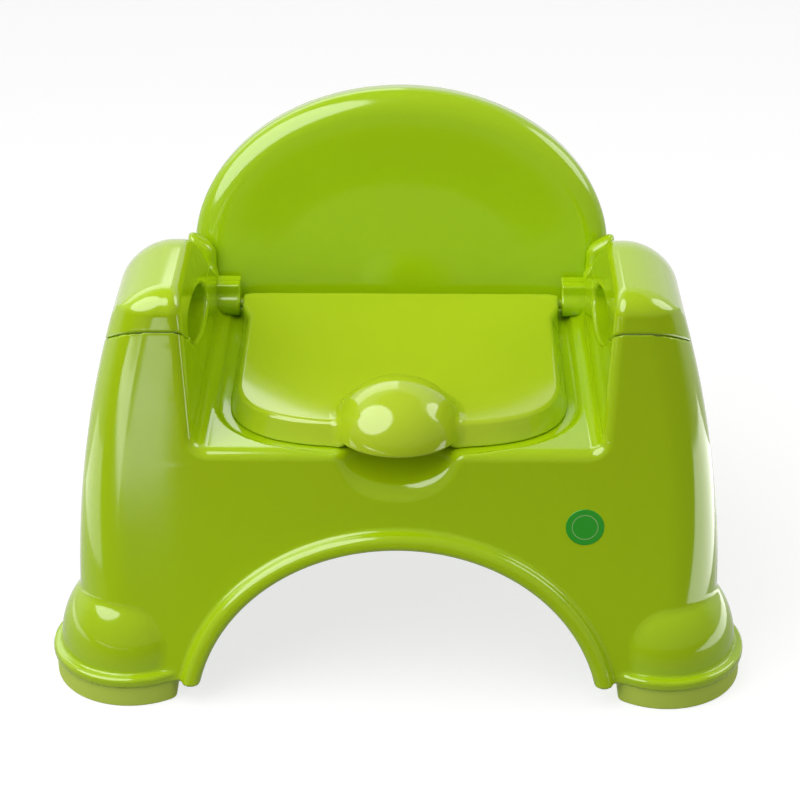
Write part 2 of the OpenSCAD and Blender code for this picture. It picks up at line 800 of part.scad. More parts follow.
module bowl() {
    low = flange_top - bowl_depth;
    neck = flange_top - bowl_wall;
    foot = bowl_foot_r - bowl_foot_edge;
    color(lime) translate([0, hole_y, 0]) {
        rotate_extrude()
            polygon([
                [0, low], [foot, low], [bowl_foot_r, low + bowl_foot_edge], [bowl_r, neck],
                [bowl_r + bowl_wall, neck], [bowl_r + bowl_wall, flange_top],
                [bowl_r - bowl_wall, flange_top],
                [bowl_foot_r - bowl_wall, low + bowl_foot_edge + 1], [foot - 1, low + bowl_wall],
                [0, low + bowl_wall]
            ]);
        translate([0, 0, neck]) linear_extrude(bowl_wall) difference() {
            union() {
                intersection() {
                    circle(flange_hw + pull_drop);
                    translate([-flange_hw, flange_cut - flange_hw])
                        square([2 * flange_hw, 2 * flange_hw - flange_cut]);
                }
                translate([-pull_hw, 0]) square([2 * pull_hw, flange_hw + pull_len]);
            }
            circle(bowl_r);
        }
        translate([-pull_hw, flange_hw + pull_len - bowl_wall, neck - pull_drop])
            cube([2 * pull_hw, bowl_wall, pull_drop]);
    }
}

// Rail drawn for the right side and mirrored for the left
module bowl_rail(side) {
    len = rail_rear - rail_front;
    color(lime) mirror([side > 0 ? 0 : 1, 0, 0]) difference() {
        translate([rail_in, rail_front, 0]) {
            translate([0, 0, ledge_top - rail_t]) cube([rail_t, len, deck_low - ledge_top + rail_t]);
            translate([-ledge_w, 0, ledge_top - rail_t]) cube([ledge_w + rail_t, len, rail_t]);
            translate([0, 0, deck_low - wall]) cube([rail_tab, len, wall]);
        }
        for (y = rail_screw_y) translate([rail_screw_x, y, 0]) cylinder(h = far, r = screw_r + screw_slip);
    }
}

module splash_guard() {
    r = hole_r + guard_set;
    foot = tray_z + guard_t;
    top = seat_h + guard_h;
    color(lime) translate([0, hole_y, 0]) rotate([0, 0, -90 - guard_angle / 2])
        rotate_extrude(angle = guard_angle)
            polygon([
                [r, tray_z], [r + guard_foot, tray_z], [r + guard_foot, foot],
                [r + guard_t, foot + guard_t],
                [r + guard_t, top - guard_t / 2], [r + guard_t / 2, top], [r, top - guard_t / 2]
            ]);
}

// Pad drawn for the right rear foot and mirrored for the others, cut back from the arches
module foot_pad(x, y) {
    cut_x = arch_hw + bead_w + pad_set;
    cut_y = side_arch_hw + pad_set;
    color([0.6, 0.69, 0.27]) mirror([x > 0 ? 0 : 1, 0, 0]) mirror([0, y > 0 ? 0 : 1, 0]) intersection() {
        translate([foot_x, foot_y, 0]) {
            cylinder(h = pad_h, r = foot_r - pad_set);
            cylinder(h = pad_h + pad_plug_h, r = foot_r - flange_step - wall - 8 * clear);
        }
        translate([cut_x, cut_y, -1]) cube(far);
    }
}

module front_sticker() {
    color("seagreen") at_sticker() cylinder(h = sticker_t, r = sticker_r);
}

module screw(len) {
    cylinder(h = screw_head_h, r = screw_head_r);
    translate([0, 0, screw_head_h]) cylinder(h = len, r = screw_r);
}

module arm_cap_screws() {
    color("silver") for (side = [-1, 1], y = cap_boss_y)
        translate([side * cap_boss_x, y, boss_foot(y) - wall - clear - screw_head_h]) screw(wall + cap_bite);
}

module backrest_screws() {
    color("silver") for (side = [-1, 1])
        translate([side * back_boss_x, back_boss_y, deck_low - screw_head_h])
            screw(seat_h - deck_low + back_bite);
}

module rail_screws() {
    color("silver") for (side = [-1, 1], y = rail_screw_y)
        translate([side * rail_screw_x, y, deck_low - wall - screw_head_h]) screw(wall + rail_bite);
}

base_shell();
arm_cap(-1);  // left_arm_cap
arm_cap(1);  // right_arm_cap
backrest();
lid();
lid_pin(-1);  // left_lid_pin
lid_pin(1);  // right_lid_pin
hinge_block(-1);  // left_hinge_block
hinge_block(1);  // right_hinge_block
bowl();
bowl_rail(-1);  // left_bowl_rail
bowl_rail(1);  // right_bowl_rail
splash_guard();
foot_pad(-1, -1);  // front_left_foot_pad
foot_pad(1, -1);  // front_right_foot_pad
foot_pad(-1, 1);  // rear_left_foot_pad
foot_pad(1, 1);  // rear_right_foot_pad
front_sticker();
arm_cap_screws();
backrest_screws();
rail_screws();
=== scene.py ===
"""Looks of the potty training chair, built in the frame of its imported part."""

import logging
import math
from dataclasses import dataclass
from enum import Enum
from typing import Callable

import bpy
import numpy as np
from mathutils import Euler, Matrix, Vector


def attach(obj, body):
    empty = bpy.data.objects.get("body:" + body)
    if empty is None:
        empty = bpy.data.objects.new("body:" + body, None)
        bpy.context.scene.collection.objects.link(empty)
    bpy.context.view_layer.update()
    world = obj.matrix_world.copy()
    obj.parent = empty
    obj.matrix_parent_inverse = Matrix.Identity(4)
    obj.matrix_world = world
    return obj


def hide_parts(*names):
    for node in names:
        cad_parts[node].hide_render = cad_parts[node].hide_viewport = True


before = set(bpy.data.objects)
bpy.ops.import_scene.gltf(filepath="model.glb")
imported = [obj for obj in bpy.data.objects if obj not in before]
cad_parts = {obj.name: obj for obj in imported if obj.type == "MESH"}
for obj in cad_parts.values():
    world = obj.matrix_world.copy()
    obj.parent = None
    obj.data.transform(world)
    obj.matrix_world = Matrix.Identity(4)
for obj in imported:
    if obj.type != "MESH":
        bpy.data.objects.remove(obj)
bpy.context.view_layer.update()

LOG = logging.getLogger("potty_chair")
MM = 0.001
FAR = 99.0
SLAB = 24
GRID_MARGIN = 2.2
SEAT_PROBE = 0.1
SHADE_PROBE = 0.25
LEAST_SLOPE = 0.25
WHITE = (1.0, 1.0, 1.0, 1.0)
Grid = np.ndarray
Field = Callable[[Grid, Grid, Grid], Grid]
Pair = tuple[float, float]
Triple = tuple[float, float, float]
Socket = bpy.types.NodeSocket
Feeds = dict[str | int, object]


class Body(Enum):
    """Rigid bodies of the chair."""

    BASE = "base"
    LID = "lid"
    BOWL = "bowl"


class Side(Enum):
    """Left and right as seen from the front."""

    LEFT = -1
    RIGHT = 1


# Distance fields, in mm


def round_union(a: Grid, b: Grid, r: float | Grid) -> Grid:
    """Joins two forms with a fillet.

    Args:
        a: Distance to the first form.
        b: Distance to the second form.
        r: Radius of the fillet.

    Returns:
        Distance to the joined form.
    """
    return np.maximum(r, np.minimum(a, b)) - np.hypot(np.maximum(r - a, 0), np.maximum(r - b, 0))


def round_cut(a: Grid, b: Grid, r: float | Grid) -> Grid:
    """Keeps what two forms share, with a rounded edge.

    Args:
        a: Distance to the first form.
        b: Distance to the second form.
        r: Radius of the edge.

    Returns:
        Distance to the shared form.
    """
    return np.minimum(-r, np.maximum(a, b)) + np.hypot(np.maximum(r + a, 0), np.maximum(r + b, 0))


def oval_cut(a: Grid, b: Grid, ra: float | Grid, rb: float | Grid) -> Grid:
    """Keeps what two forms share, with an edge that is a quarter of an ellipse.

    Args:
        a: Distance to the first form.
        b: Distance to the second form.
        ra: Radius of the edge across the first form.
        rb: Radius of the edge across the second form.

    Returns:
        Distance to the shared form.
    """
    p, q = np.maximum(a + ra, 0), np.maximum(b + rb, 0)
    k0 = np.hypot(p / ra, q / rb)
    k1 = np.hypot(p / ra**2, q / rb**2)
    return np.where(k1 > 1e-9, k0 * (k0 - 1) / np.maximum(k1, 1e-9), np.maximum(a, b))


def oval(u: Grid, v: Grid, ru: float, rv: float) -> Grid:
    """Distance to an ellipse.

    Args:
        u: First coordinate from the middle.
        v: Second coordinate from the middle.
        ru: Half-length along the first coordinate.
        rv: Half-length along the second coordinate.

    Returns:
        Distance, below zero inside.
    """
    k0 = np.sqrt((u / ru) ** 2 + (v / rv) ** 2 + 1e-12)
    k1 = np.sqrt((u / ru**2) ** 2 + (v / rv**2) ** 2 + 1e-12 / (ru * rv))
    return k0 * (k0 - 1) / k1


def ball(u: Grid, v: Grid, w: Grid, radii: Triple) -> Grid:
    """Distance to an ellipsoid.

    Args:
        u: First coordinate from the middle.
        v: Second coordinate from the middle.
        w: Third coordinate from the middle.
        radii: Half-lengths along the three coordinates.

    Returns:
        Distance, below zero inside.
    """
    a, b, c = radii
    k0 = np.sqrt((u / a) ** 2 + (v / b) ** 2 + (w / c) ** 2 + 1e-12)
    k1 = np.sqrt((u / a**2) ** 2 + (v / b**2) ** 2 + (w / c**2) ** 2 + 1e-12 / (a * b))
    return k0 * (k0 - 1) / k1


def panel(u: Grid, v: Grid, hu: float, hv: float, r: float) -> Grid:
    """Distance to a rectangle with rounded corners.

    Args:
        u: First coordinate from the middle.
        v: Second coordinate from the middle.
        hu: Half-length along the first coordinate.
        hv: Half-length along the second coordinate.
        r: Radius of the corners.

    Returns:
        Distance, below zero inside.
    """
    return round_cut(np.abs(u) - hu, np.abs(v) - hv, r)


def ease(low: float, high: float, v: Grid) -> Grid:
    """Soft step.

    Args:
        low: Where the step starts.
        high: Where the step ends.
        v: Where it is read.

    Returns:
        Share of the step, from 0 to 1.
    """
    t = np.clip((v - low) / (high - low), 0, 1)
    return t * t * (3 - 2 * t)


# Sizes and forms


@dataclass(frozen=True)
class ChairForm:
    """Sizes of the moulded chair in mm, and the forms that its pieces share."""

    seat_h: float = 146.0
    wall: float = 3.5
    gap: float = 0.15
    body_hw: float = 179.0
    side_draw: float = 26.0
    bulge_z: float = 45.0
    front_y: float = 108.0
    front_flare: float = 30.0
    rear_y: float = 112.0
    rear_flare: float = 22.0
    peak_z: float = 233.0
    arm_crown: float = 2.5
    arm_drop: float = 72.5
    arm_bend: float = 2.2
    arm_flat: float = 48.0
    arm_len: float = 124.0
    arm_run: float = 15.0
    arm_rise: float = 12.0
    inner_hw: float = 110.0
    inner_lean: float = 0.05
    seam_z: float = 215.0
    seam_dip: float = 25.0
    seam_run: float = 60.0
    seam_r: float = 0.9
    cap_end: float = 32.0
    pad_h: float = 13.0
    sole_r: float = 1.3
    foot_x: float = 150.0
    foot_y: float = 99.0
    foot_r: float = 46.0
    ring_top: float = 19.0
    ring_w: float = 5.0
    ring_r: float = 2.4
    ring_fillet: float = 1.4
    dome_h: float = 49.0
    hole_r: float = 66.0
    hole_y: float = -14.0
    hole_lip: float = 1.5
    collar_low: float = 134.0
    collar_drop: float = 4.0
    lid_hw: float = 95.0
    lid_nose: float = 58.0
    lid_nose_y: float = -47.0
    lid_rear: float = 66.0
    lid_corner: float = 6.0
    lid_powers: Triple = (3.226, 2.481, 2.8)
    lid_deepest: float = 60.0
    tray_sink: float = 2.5
    tray_slope: Pair = (4.5, 9.0)
    arch_hw: float = 112.0
    arch_h: float = 97.0
    arch_sink: float = 7.0
    arch_trim: float = 2.5
    front_zone: float = -50.0
    side_arch_hw: float = 66.0
    side_zone: float = 127.0
    gate_hw: float = 96.0
    gate_top: float = 136.0
    gate_r: float = 18.0
    gate_zone: float = 76.0
    bead_w: float = 10.0
    bead_out: float = 5.5
    bead_r: float = 4.4
    bead_fillet: float = 2.4
    corner_low: float = 34.0
    corner_high: float = 22.0
    seat_fillet: float = 7.0
    edge_r: float = 6.0
    crease: float = 1.3
    rear_r: float = 9.0
    post_x: float = 117.0
    post_y: float = 74.0
    post_z: float = 186.5
    post_slope: float = 0.65
    post_shift: float = 3.25
    post_half: Pair = (8.25, 6.0)
    post_r: float = 5.8
    post_top_r: float = 4.0
    post_fillet: float = 6.0
    scoop_out: float = 22.0
    scoop_up: float = 3.0
    scoop_radii: Triple = (40.0, 40.0, 29.5)
    scoop_lip: float = 3.0
    scoop_lip_gain: float = 3.5
    scoop_lip_span: Pair = (6.0, 27.0)
    grip_y: float = -35.0
    grip_z: float = 191.0
    grip_tilt: float = -0.26
    grip_half: Pair = (48.0, 14.0)
    grip_end: float = 133.4
    grip_end_r: float = 5.0
    grip_lip: float = 2.0
    web_x: float = 131.5
    web_hw: float = 25.0
    web_y: Pair = (-74.0, 22.0)
    web_half: Pair = (6.75, 1.75)
    web_drop: float = 0.3
    web_inset: float = 1.5
    hinge_y: float = 61.0
    hinge_z: float = 152.0
    back_screw: Pair = (62.0, 86.0)

    def flare(self, z: Grid) -> Grid:
        """Share of the flare at a height."""
        return ((self.peak_z - np.minimum(z, self.peak_z)) / (self.peak_z - self.pad_h)) ** 2

    def flare_slope(self, z: Grid) -> Grid:
        """Slope of the flare at a height."""
        return 2 * (self.peak_z - np.minimum(z, self.peak_z)) / (self.peak_z - self.pad_h) ** 2

    def front(self, z: Grid) -> Grid:
        """Where the front wall stands at a height."""
        return -self.front_y - self.front_flare * self.flare(z)

    def rear(self, z: Grid) -> Grid:
        """Where the rear wall stands at a height."""
        return self.rear_y + self.rear_flare * self.flare(z)

    def arm_share(self, d: Grid) -> Grid:
        """How far along its slope the arm is at a distance behind its front, from 0 to 1."""
        return np.clip((d - self.arm_run - self.arm_flat) / self.arm_len, 0, 1)

    def arm_top(self, d: Grid) -> Grid:
        """Height of the arm at a distance behind its front, without the rounding there."""
        t, bend = self.arm_share(d), self.arm_bend
        return self.peak_z + self.arm_crown - self.arm_drop * t * t * (bend - (bend - 1) * t)

    def arm_slope(self, d: Grid) -> Grid:
        """Slope of the arm at a distance behind its front."""
        t, bend = self.arm_share(d), self.arm_bend
        return self.arm_drop * (2 * bend * t - 3 * (bend - 1) * t * t) / self.arm_len

    def seam_ahead(self, y: Grid) -> Grid:
        """How near a place is to the front end of the seam's bend, from 1 there to 0 behind it."""
        return 1 - np.clip((y + self.front_y) / self.seam_run, 0, 1)

    def seam(self, y: Grid) -> Grid:
        """Height of the seam between an arm and its cap."""
        return self.seam_z - self.seam_dip * (1 - self.seam_ahead(y) ** 2)

    def web_top(self, y: float) -> float:
        """Height of the web that a cap screw holds on to."""
        return float(self.seam(np.array(y + self.web_half[0]))) - self.web_drop

    def lid_edge(self, x: Grid, y: Grid) -> Grid:
        """Distance to the lid's outline, seen from above.

        Args:
            x: Place across the chair.
            y: Place along the chair.

        Returns:
            Distance, below zero inside.
        """
        a, b, c = self.lid_powers
        u = np.abs(x) / self.lid_hw
        v = np.maximum(self.lid_nose_y - y, 0) / self.lid_nose
        total = np.maximum(u**a + v**b, 1e-6)
        slope = total ** (1 / c - 1) / c
        pull = np.hypot(a * u ** (a - 1) / self.lid_hw, b * v ** (b - 1) / self.lid_nose)
        nose = (total ** (1 / c) - 1) / np.maximum(slope * pull, 1e-4)
        return round_cut(np.maximum(nose, -self.lid_deepest), y - self.lid_rear, self.lid_corner)

    def seat(self, x: Grid, y: Grid) -> Grid:
        """Height of the seat, with the tray that the lid lies in."""
        return self.seat_h - self.tray_sink * (1 - ease(*self.tray_slope, self.lid_edge(x, y)))

    def side_view(self, y: Grid, z: Grid) -> Grid:
        """Distance to the chair's side view, with the arms' rounded fronts and sloping tops.

        Args:
            y: Place along the chair.
            z: Height.

        Returns:
            Distance, below zero inside.
        """
        front, rear = self.front(z), self.rear(z)
        slope = self.flare_slope(z)
        d = (self.front_y + self.rear_y) * (y - front) / (rear - front)
        top = (z - self.arm_top(d)) / np.sqrt(1 + self.arm_slope(d) ** 2)
        ahead = (front - y) / np.sqrt(1 + (self.front_flare * slope) ** 2)
        behind = (y - rear) / np.sqrt(1 + (self.rear_flare * slope) ** 2)
        return round_cut(oval_cut(ahead, top, self.arm_run, self.arm_rise), behind, self.rear_r)

    def trunk(self, x: Grid, y: Grid, z: Grid) -> Grid:
        """Distance to the seat and the arms as one solid form.

        Args:
            x: Place across the chair.
            y: Place along the chair.
            z: Height.

        Returns:
            Distance, below zero inside.
        """
        ax = np.abs(x)
        inset = ax - self.inner_hw - self.inner_lean * (z - self.seat_h)
        seat = round_union(z - self.seat(x, y), -inset, self.seat_fillet)
        form = round_cut(self.side_view(y, z), seat, self.edge_r)
        run = self.seam_z - self.bulge_z
        rise = np.maximum(z - self.bulge_z, 0) / run
        side = ax - self.body_hw + self.side_draw * rise**2
        high = np.clip((z - self.pad_h) / (self.seam_z - self.pad_h), 0, 1)
        corner = self.corner_low + (self.corner_high - self.corner_low) * high
        return round_cut(form, side / np.sqrt(1 + (2 * self.side_draw * rise / run) ** 2), corner)

    def bells(self, x: Grid, y: Grid, z: Grid) -> Grid:
        """Distance to the bell feet with their rings.

        Args:
            x: Place across the chair.
            y: Place along the chair.
            z: Height.

        Returns:
            Distance, below zero inside.
        """
        q = np.hypot(np.abs(x) - self.foot_x, np.abs(y) - self.foot_y)
        dome = oval(q, np.maximum(z - self.ring_top, 0), self.foot_r - self.ring_w, self.dome_h)
        ring = round_cut(q - self.foot_r, z - self.ring_top, self.ring_r)
        return round_union(dome, ring, self.ring_fillet)

    def solid(self, x: Grid, y: Grid, z: Grid) -> Grid:
        """Distance to the trunk joined with its feet."""
        return round_union(self.trunk(x, y, z), self.bells(x, y, z), self.crease)

    def posts(self, x: Grid, y: Grid, z: Grid) -> Grid:
        """Distance to the posts that cradle the backrest.

        Args:
            x: Place across the chair.
            y: Place along the chair.
            z: Height.

        Returns:
            Distance, below zero inside.
        """
        across = np.abs(x) - self.post_x
        top = (z - self.post_z - self.post_slope * across) / math.hypot(1, self.post_slope)
        column = panel(across - self.post_shift, y - self.post_y, *self.post_half, self.post_r)
        return round_cut(column, top, self.post_top_r)

    def scoop(self, x: Grid, y: Grid, z: Grid) -> Grid:
        """Distance to the finger scoop under the lid's front."""
        front = self.front(np.array(self.seat_h))
        return ball(x, y - front + self.scoop_out, z - self.seat_h - self.scoop_up, self.scoop_radii)

    def grips(self, x: Grid, y: Grid, z: Grid) -> Grid:
        """Distance to the hand-holds in the arms' inner faces.

        Args:
            x: Place across the chair.
            y: Place along the chair.
            z: Height.

        Returns:
            Distance, below zero inside.
        """
        c, s = math.cos(self.grip_tilt), math.sin(self.grip_tilt)
        dy, dz = y - self.grip_y, z - self.grip_z
        mouth = oval(dy * c + dz * s, dz * c - dy * s, *self.grip_half)
        return round_cut(mouth, np.abs(x) - self.grip_end, self.grip_end_r)

    def arch_edges(self, x: Grid, y: Grid, z: Grid) -> list[Grid]:
        """Distances to the openings under the chair.

        Args:
            x: Place across the chair.
            y: Place along the chair.
            z: Height.

        Returns:
            Distances to the front arch, the side arches and the rear gate, below zero inside each.
        """
        front = oval(x, z + self.arch_sink, self.arch_hw, self.arch_h)
        sides = oval(y, z + self.arch_sink, self.side_arch_hw, self.arch_h)
        gate = round_cut(np.abs(x) - self.gate_hw, z - self.gate_top, self.gate_r)
        return [
            np.where(y < self.front_zone, front, FAR),
            np.where(np.abs(x) > self.side_zone, sides, FAR),
            np.where(y > self.gate_zone, gate, FAR),
        ]

    def webs(self, x: Grid, y: Grid, z: Grid, solid: Grid) -> Grid:
        """Distance to the webs inside the arms that the cap screws hold on to.

        Args:
            x: Place across the chair.
            y: Place along the chair.
            z: Height.
            solid: Distance to the trunk joined with its feet.

        Returns:
            Distance, below zero inside.
        """
        across = np.maximum(np.abs(np.abs(x) - self.web_x) - self.web_hw, solid + self.web_inset)
        half_y, half_z = self.web_half
        webs = np.full_like(solid, FAR)
        for place in self.web_y:
            middle = self.web_top(place) - half_z
            web = np.maximum(np.abs(y - place) - half_y, np.abs(z - middle) - half_z)
            webs = np.minimum(webs, np.maximum(web, across))
        return webs

    def moulding(self, x: Grid, y: Grid, z: Grid) -> Grid:
        """Distance to the hollow moulding, with the caps still in one with the arms.

        Args:
            x: Place across the chair.
            y: Place along the chair.
            z: Height.

        Returns:
            Distance, below zero inside the plastic.
        """
        trunk, bells = self.trunk(x, y, z), self.bells(x, y, z)
        solid = round_union(trunk, bells, self.crease)
        scoop, grips = self.scoop(x, y, z), self.grips(x, y, z)
        lip = self.scoop_lip + self.scoop_lip_gain * ease(*self.scoop_lip_span, self.seat_h - z)
        full = round_cut(round_cut(solid, -scoop, lip), -grips, self.grip_lip)
        core = round_cut(round_cut(np.minimum(trunk, bells), -scoop, lip), -grips, self.grip_lip)
        shell = round_union(full, self.posts(x, y, z), self.post_fillet)
        shell = np.maximum(shell, -(core + self.wall))
        half_w, half_t = self.bead_w / 2, (self.bead_out + self.wall) / 2
        out = solid - (self.bead_out - self.wall) / 2
        beads = np.full(np.broadcast(x, y, z).shape, FAR)
        for edge in self.arch_edges(x, y, z):
            shell = np.maximum(shell, self.arch_trim - edge)
            beads = np.minimum(beads, panel(edge - half_w, out, half_w, half_t, self.bead_r))
        shell = round_union(shell, beads, self.bead_fillet)
        q = np.hypot(x, y - self.hole_y)
        collar = np.maximum(q - self.hole_r - self.wall, self.collar_low - z)
        collar = np.maximum(collar, z - self.seat_h + self.collar_drop)
        shell = np.minimum(np.minimum(shell, collar), self.webs(x, y, z, solid))
        shell = round_cut(shell, self.hole_r - q, self.hole_lip)
        return round_cut(shell, self.pad_h - z, self.sole_r)

    def cap_zone(self, y: Grid, z: Grid) -> Grid:
        """Distance to the space over the seams, where the caps are.

        Args:
            y: Place along the chair.
            z: Height.

        Returns:
            Distance, below zero inside.
        """
        ahead = self.seam_ahead(y)
        lean = np.where(ahead < 1, 2 * self.seam_dip / self.seam_run * ahead, 0.0)
        return np.maximum((self.seam(y) - z) / np.hypot(1, lean), y - self.cap_end)


FORM = ChairForm()


# From a field to a mesh


def sample(field: Field, low: Triple, high: Triple, step: float) -> Grid:
    """Reads a field on an even grid, a slab at a time.

    Args:
        field: Distance field.
        low: Lowest corner of the grid.
        high: Highest corner of the grid.
        step: Distance between neighbouring places.

    Returns:
        The distances on the grid.
    """
    axes = [a + step * np.arange(int(math.ceil((b - a) / step)) + 1) for a, b in zip(low, high)]
    values = np.empty([len(a) for a in axes], np.float32)
    for start in range(0, len(axes[0]), SLAB):
        slab = axes[0][start : start + SLAB]
        x, y, z = np.meshgrid(slab, axes[1], axes[2], indexing="ij", sparse=True)
        values[start : start + SLAB] = field(x, y, z)
    return values


def skin(values: Grid, low: Triple, step: float) -> tuple[Grid, Grid]:
    """Wraps a sampled field in quads, with one corner in each grid cell that the skin crosses.

    Args:
        values: Distances on the grid.
        low: Lowest corner of the grid.
        step: Distance between neighbouring places.

    Returns:
        Places of the corners and the quads between them.
    """
    inside = values < 0
    nx, ny, nz = values.shape
    count = np.zeros((nx - 1, ny - 1, nz - 1), np.int8)
    for i in (0, 1):
        for j in (0, 1):
            for k in (0, 1):
                count += inside[i : nx - 1 + i, j : ny - 1 + j, k : nz - 1 + k]
    mixed = (count > 0) & (count < 8)
    cells = np.argwhere(mixed)
    number = np.full(mixed.shape, -1, np.int32)
    number[mixed] = np.arange(len(cells), dtype=np.int32)
    total, hits = np.zeros((len(cells), 3)), np.zeros(len(cells))
    quads = []
    unit = np.eye(3, dtype=np.int64)
    for axis in range(3):
        u, w = unit[(axis + 1) % 3], unit[(axis + 2) % 3]
        for a in (0, 1):
            for b in (0, 1):
                near = cells + a * u + b * w
                far = near + unit[axis]
                v0, v1 = values[tuple(near.T)], values[tuple(far.T)]
                cross = (v0 < 0) != (v1 < 0)
                share = v0[cross] / (v0[cross] - v1[cross])
                total[cross] += a * u + b * w + share[:, None] * unit[axis]
                hits[cross] += 1
        first = [slice(None)] * 3
        second = [slice(None)] * 3
        first[axis], second[axis] = slice(None, -1), slice(1, None)
        start = inside[tuple(first)]
        edges = np.argwhere(start != inside[tuple(second)])
        limits = np.array(values.shape)
        ku, kw = (axis + 1) % 3, (axis + 2) % 3
        keep = (edges[:, ku] > 0) & (edges[:, kw] > 0)
        keep &= (edges[:, ku] < limits[ku] - 1) & (edges[:, kw] < limits[kw] - 1)
        edges = edges[keep]
        corners = (u + w, w, 0 * u, u)
        ring = [number[tuple((edges - corner).T)] for corner in corners]
        faces = np.stack(ring, axis=1)
        outward = start[tuple(edges.T)]
        quads.append(np.where(outward[:, None], faces, faces[:, ::-1]))
    places = np.array(low) + step * (cells + total / hits[:, None])
    return places, np.concatenate(quads)


def gradient(field: Field, at: Grid, reach: float) -> Grid:
    """Slope of a field at scattered places.

    Args:
        field: Distance field.
        at: The places.
        reach: Half the distance that the slope is read over.

    Returns:
        Slopes, one row for each place.
    """
    rows = []
    for axis in range(3):
        shift = np.zeros(3)
        shift[axis] = reach
        rows.append((field(*(at + shift).T) - field(*(at - shift).T)) / (2 * reach))
    return np.stack(rows, axis=1)


def settle(field: Field, at: Grid, step: float, times: int = 2) -> Grid:
    """Moves places on to the skin of a field.

    Args:
        field: Distance field.
        at: The places.
        step: Grid step, which limits each move.
        times: Number of moves.

    Returns:
        The moved places.
    """
    for _ in range(times):
        slope = gradient(field, at, SEAT_PROBE)
        size = np.maximum((slope**2).sum(axis=1), LEAST_SLOPE)
        move = np.clip(field(*at.T) / size, -step / 2, step / 2)
        at = at - slope * move[:, None]
    return at


def in_scene(name: str, data: bpy.types.ID) -> bpy.types.Object:
    """Makes an object and links it to the scene.

    Args:
        name: Name of the object.
        data: Its mesh, lamp or camera.

    Returns:
        The object.
    """
    thing = bpy.data.objects.new(name, data)
    bpy.context.scene.collection.objects.link(thing)
    return thing


def quad_mesh(name: str, places: Grid, quads: Grid) -> bpy.types.Mesh:
    """Makes a mesh from corners in mm and quads.

    Args:
        name: Name of the mesh.
        places: Corners.
        quads: Four corner numbers in each row.

    Returns:
        The mesh, in metres.
    """
    mesh = bpy.data.meshes.new(name)
    mesh.vertices.add(len(places))
    mesh.vertices.foreach_set("co", (places * MM).astype(np.float32).ravel())
    mesh.loops.add(quads.size)
    mesh.loops.foreach_set("vertex_index", quads.astype(np.int32).ravel())
    mesh.polygons.add(len(quads))
    mesh.polygons.foreach_set("loop_start", np.arange(0, quads.size, 4, dtype=np.int32))
    mesh.update(calc_edges=True)
    return mesh


def thinned(mesh: bpy.types.Mesh, triangles: int) -> bpy.types.Mesh:
    """Takes triangles out of a mesh where it is nearly flat.

    Args:
        mesh: The full mesh, which is removed.
        triangles: Most triangles that are left.

    Returns:
        The lighter mesh.
    """
    work = in_scene("work", mesh)
    thin = work.modifiers.new("thin", "DECIMATE")
    thin.ratio = min(1.0, triangles / (2 * len(mesh.polygons)))
    thin.use_collapse_triangulate = True
    shown = work.evaluated_get(bpy.context.evaluated_depsgraph_get())
    result = bpy.data.meshes.new_from_object(shown)
    bpy.data.objects.remove(work)
    bpy.data.meshes.remove(mesh)
    return result


def smooth_from(mesh: bpy.types.Mesh, field: Field, step: float) -> None:
    """Seats a mesh on its field again and takes its shading from the field's slope.

    Args:
        mesh: The mesh, which is changed.
        field: Distance field.
        step: Grid step, which limits each move.
    """
    flat = np.empty(len(mesh.vertices) * 3, np.float32)
    mesh.vertices.foreach_get("co", flat)
    places = settle(field, flat.reshape(-1, 3).astype(float) / MM, step)
    mesh.vertices.foreach_set("co", (places * MM).astype(np.float32).ravel())
    slope = gradient(field, places, SHADE_PROBE)
    slope /= np.maximum(np.linalg.norm(slope, axis=1, keepdims=True), 1e-6)
    mesh.polygons.foreach_set("use_smooth", np.ones(len(mesh.polygons), bool))
    mesh.update()
    mesh.normals_split_custom_set_from_vertices(slope.tolist())


# Node trees and finishes


@dataclass(frozen=True)
class Wiring:
    """Short ways to add nodes to a tree and to feed them."""

    tree: bpy.types.NodeTree

    def feed(self, node: bpy.types.Node, feeds: Feeds) -> None:
        """Feeds a node's inputs.

        Args:
            node: The node.
            feeds: What each input gets, by name or number. A socket is linked, a value is set.
        """
        for key, value in feeds.items():
            if isinstance(value, bpy.types.NodeSocket):
                self.tree.links.new(value, node.inputs[key])
            else:
                node.inputs[key].default_value = value

    def add(self, kind: str, feeds: Feeds | None = None, **settings: object) -> bpy.types.Node:
        """Adds a node.

        Args:
            kind: Type of the node.
            feeds: What each input gets, by name or number.
            settings: Properties of the node.

        Returns:
            The node.
        """
        node = self.tree.nodes.new(kind)
        for name, setting in settings.items():
            setattr(node, name, setting)
        self.feed(node, feeds or {})
        return node

    def math(self, operation: str, *values: Socket | float) -> Socket:
        """Sum, product or the like of sockets and numbers.

        Args:
            operation: Which of them.
            values: Sockets and numbers, in order.

        Returns:
            Socket with the result.
        """
        return self.add("ShaderNodeMath", dict(enumerate(values)), operation=operation).outputs[0]

    def ramp(self, value: Socket, span: Pair, ends: Pair, way: str = "LINEAR") -> Socket:
        """Turns one range of values into another.

        Args:
            value: Socket with the value.
            span: Where the range starts and ends.
            ends: What the result starts and ends as.
            way: How the result runs in between.

        Returns:
            Socket with the result.
        """
        (low, high), (start, end) = span, ends
        feeds = {"Value": value, "From Min": low, "From Max": high, "To Min": start, "To Max": end}
        return self.add("ShaderNodeMapRange", feeds, interpolation_type=way).outputs["Result"]


def linear(colour: Triple) -> tuple[float, float, float, float]:
    """Turns a display colour into the light that it stands for.

    Args:
        colour: Red, green and blue from 0 to 255.

    Returns:
        Red, green, blue and a full alpha, from 0 to 1.
    """
    parts = [c / 255 for c in colour]
    light = [p / 12.92 if p <= 0.04045 else ((p + 0.055) / 1.055) ** 2.4 for p in parts]
    return (light[0], light[1], light[2], 1.0)


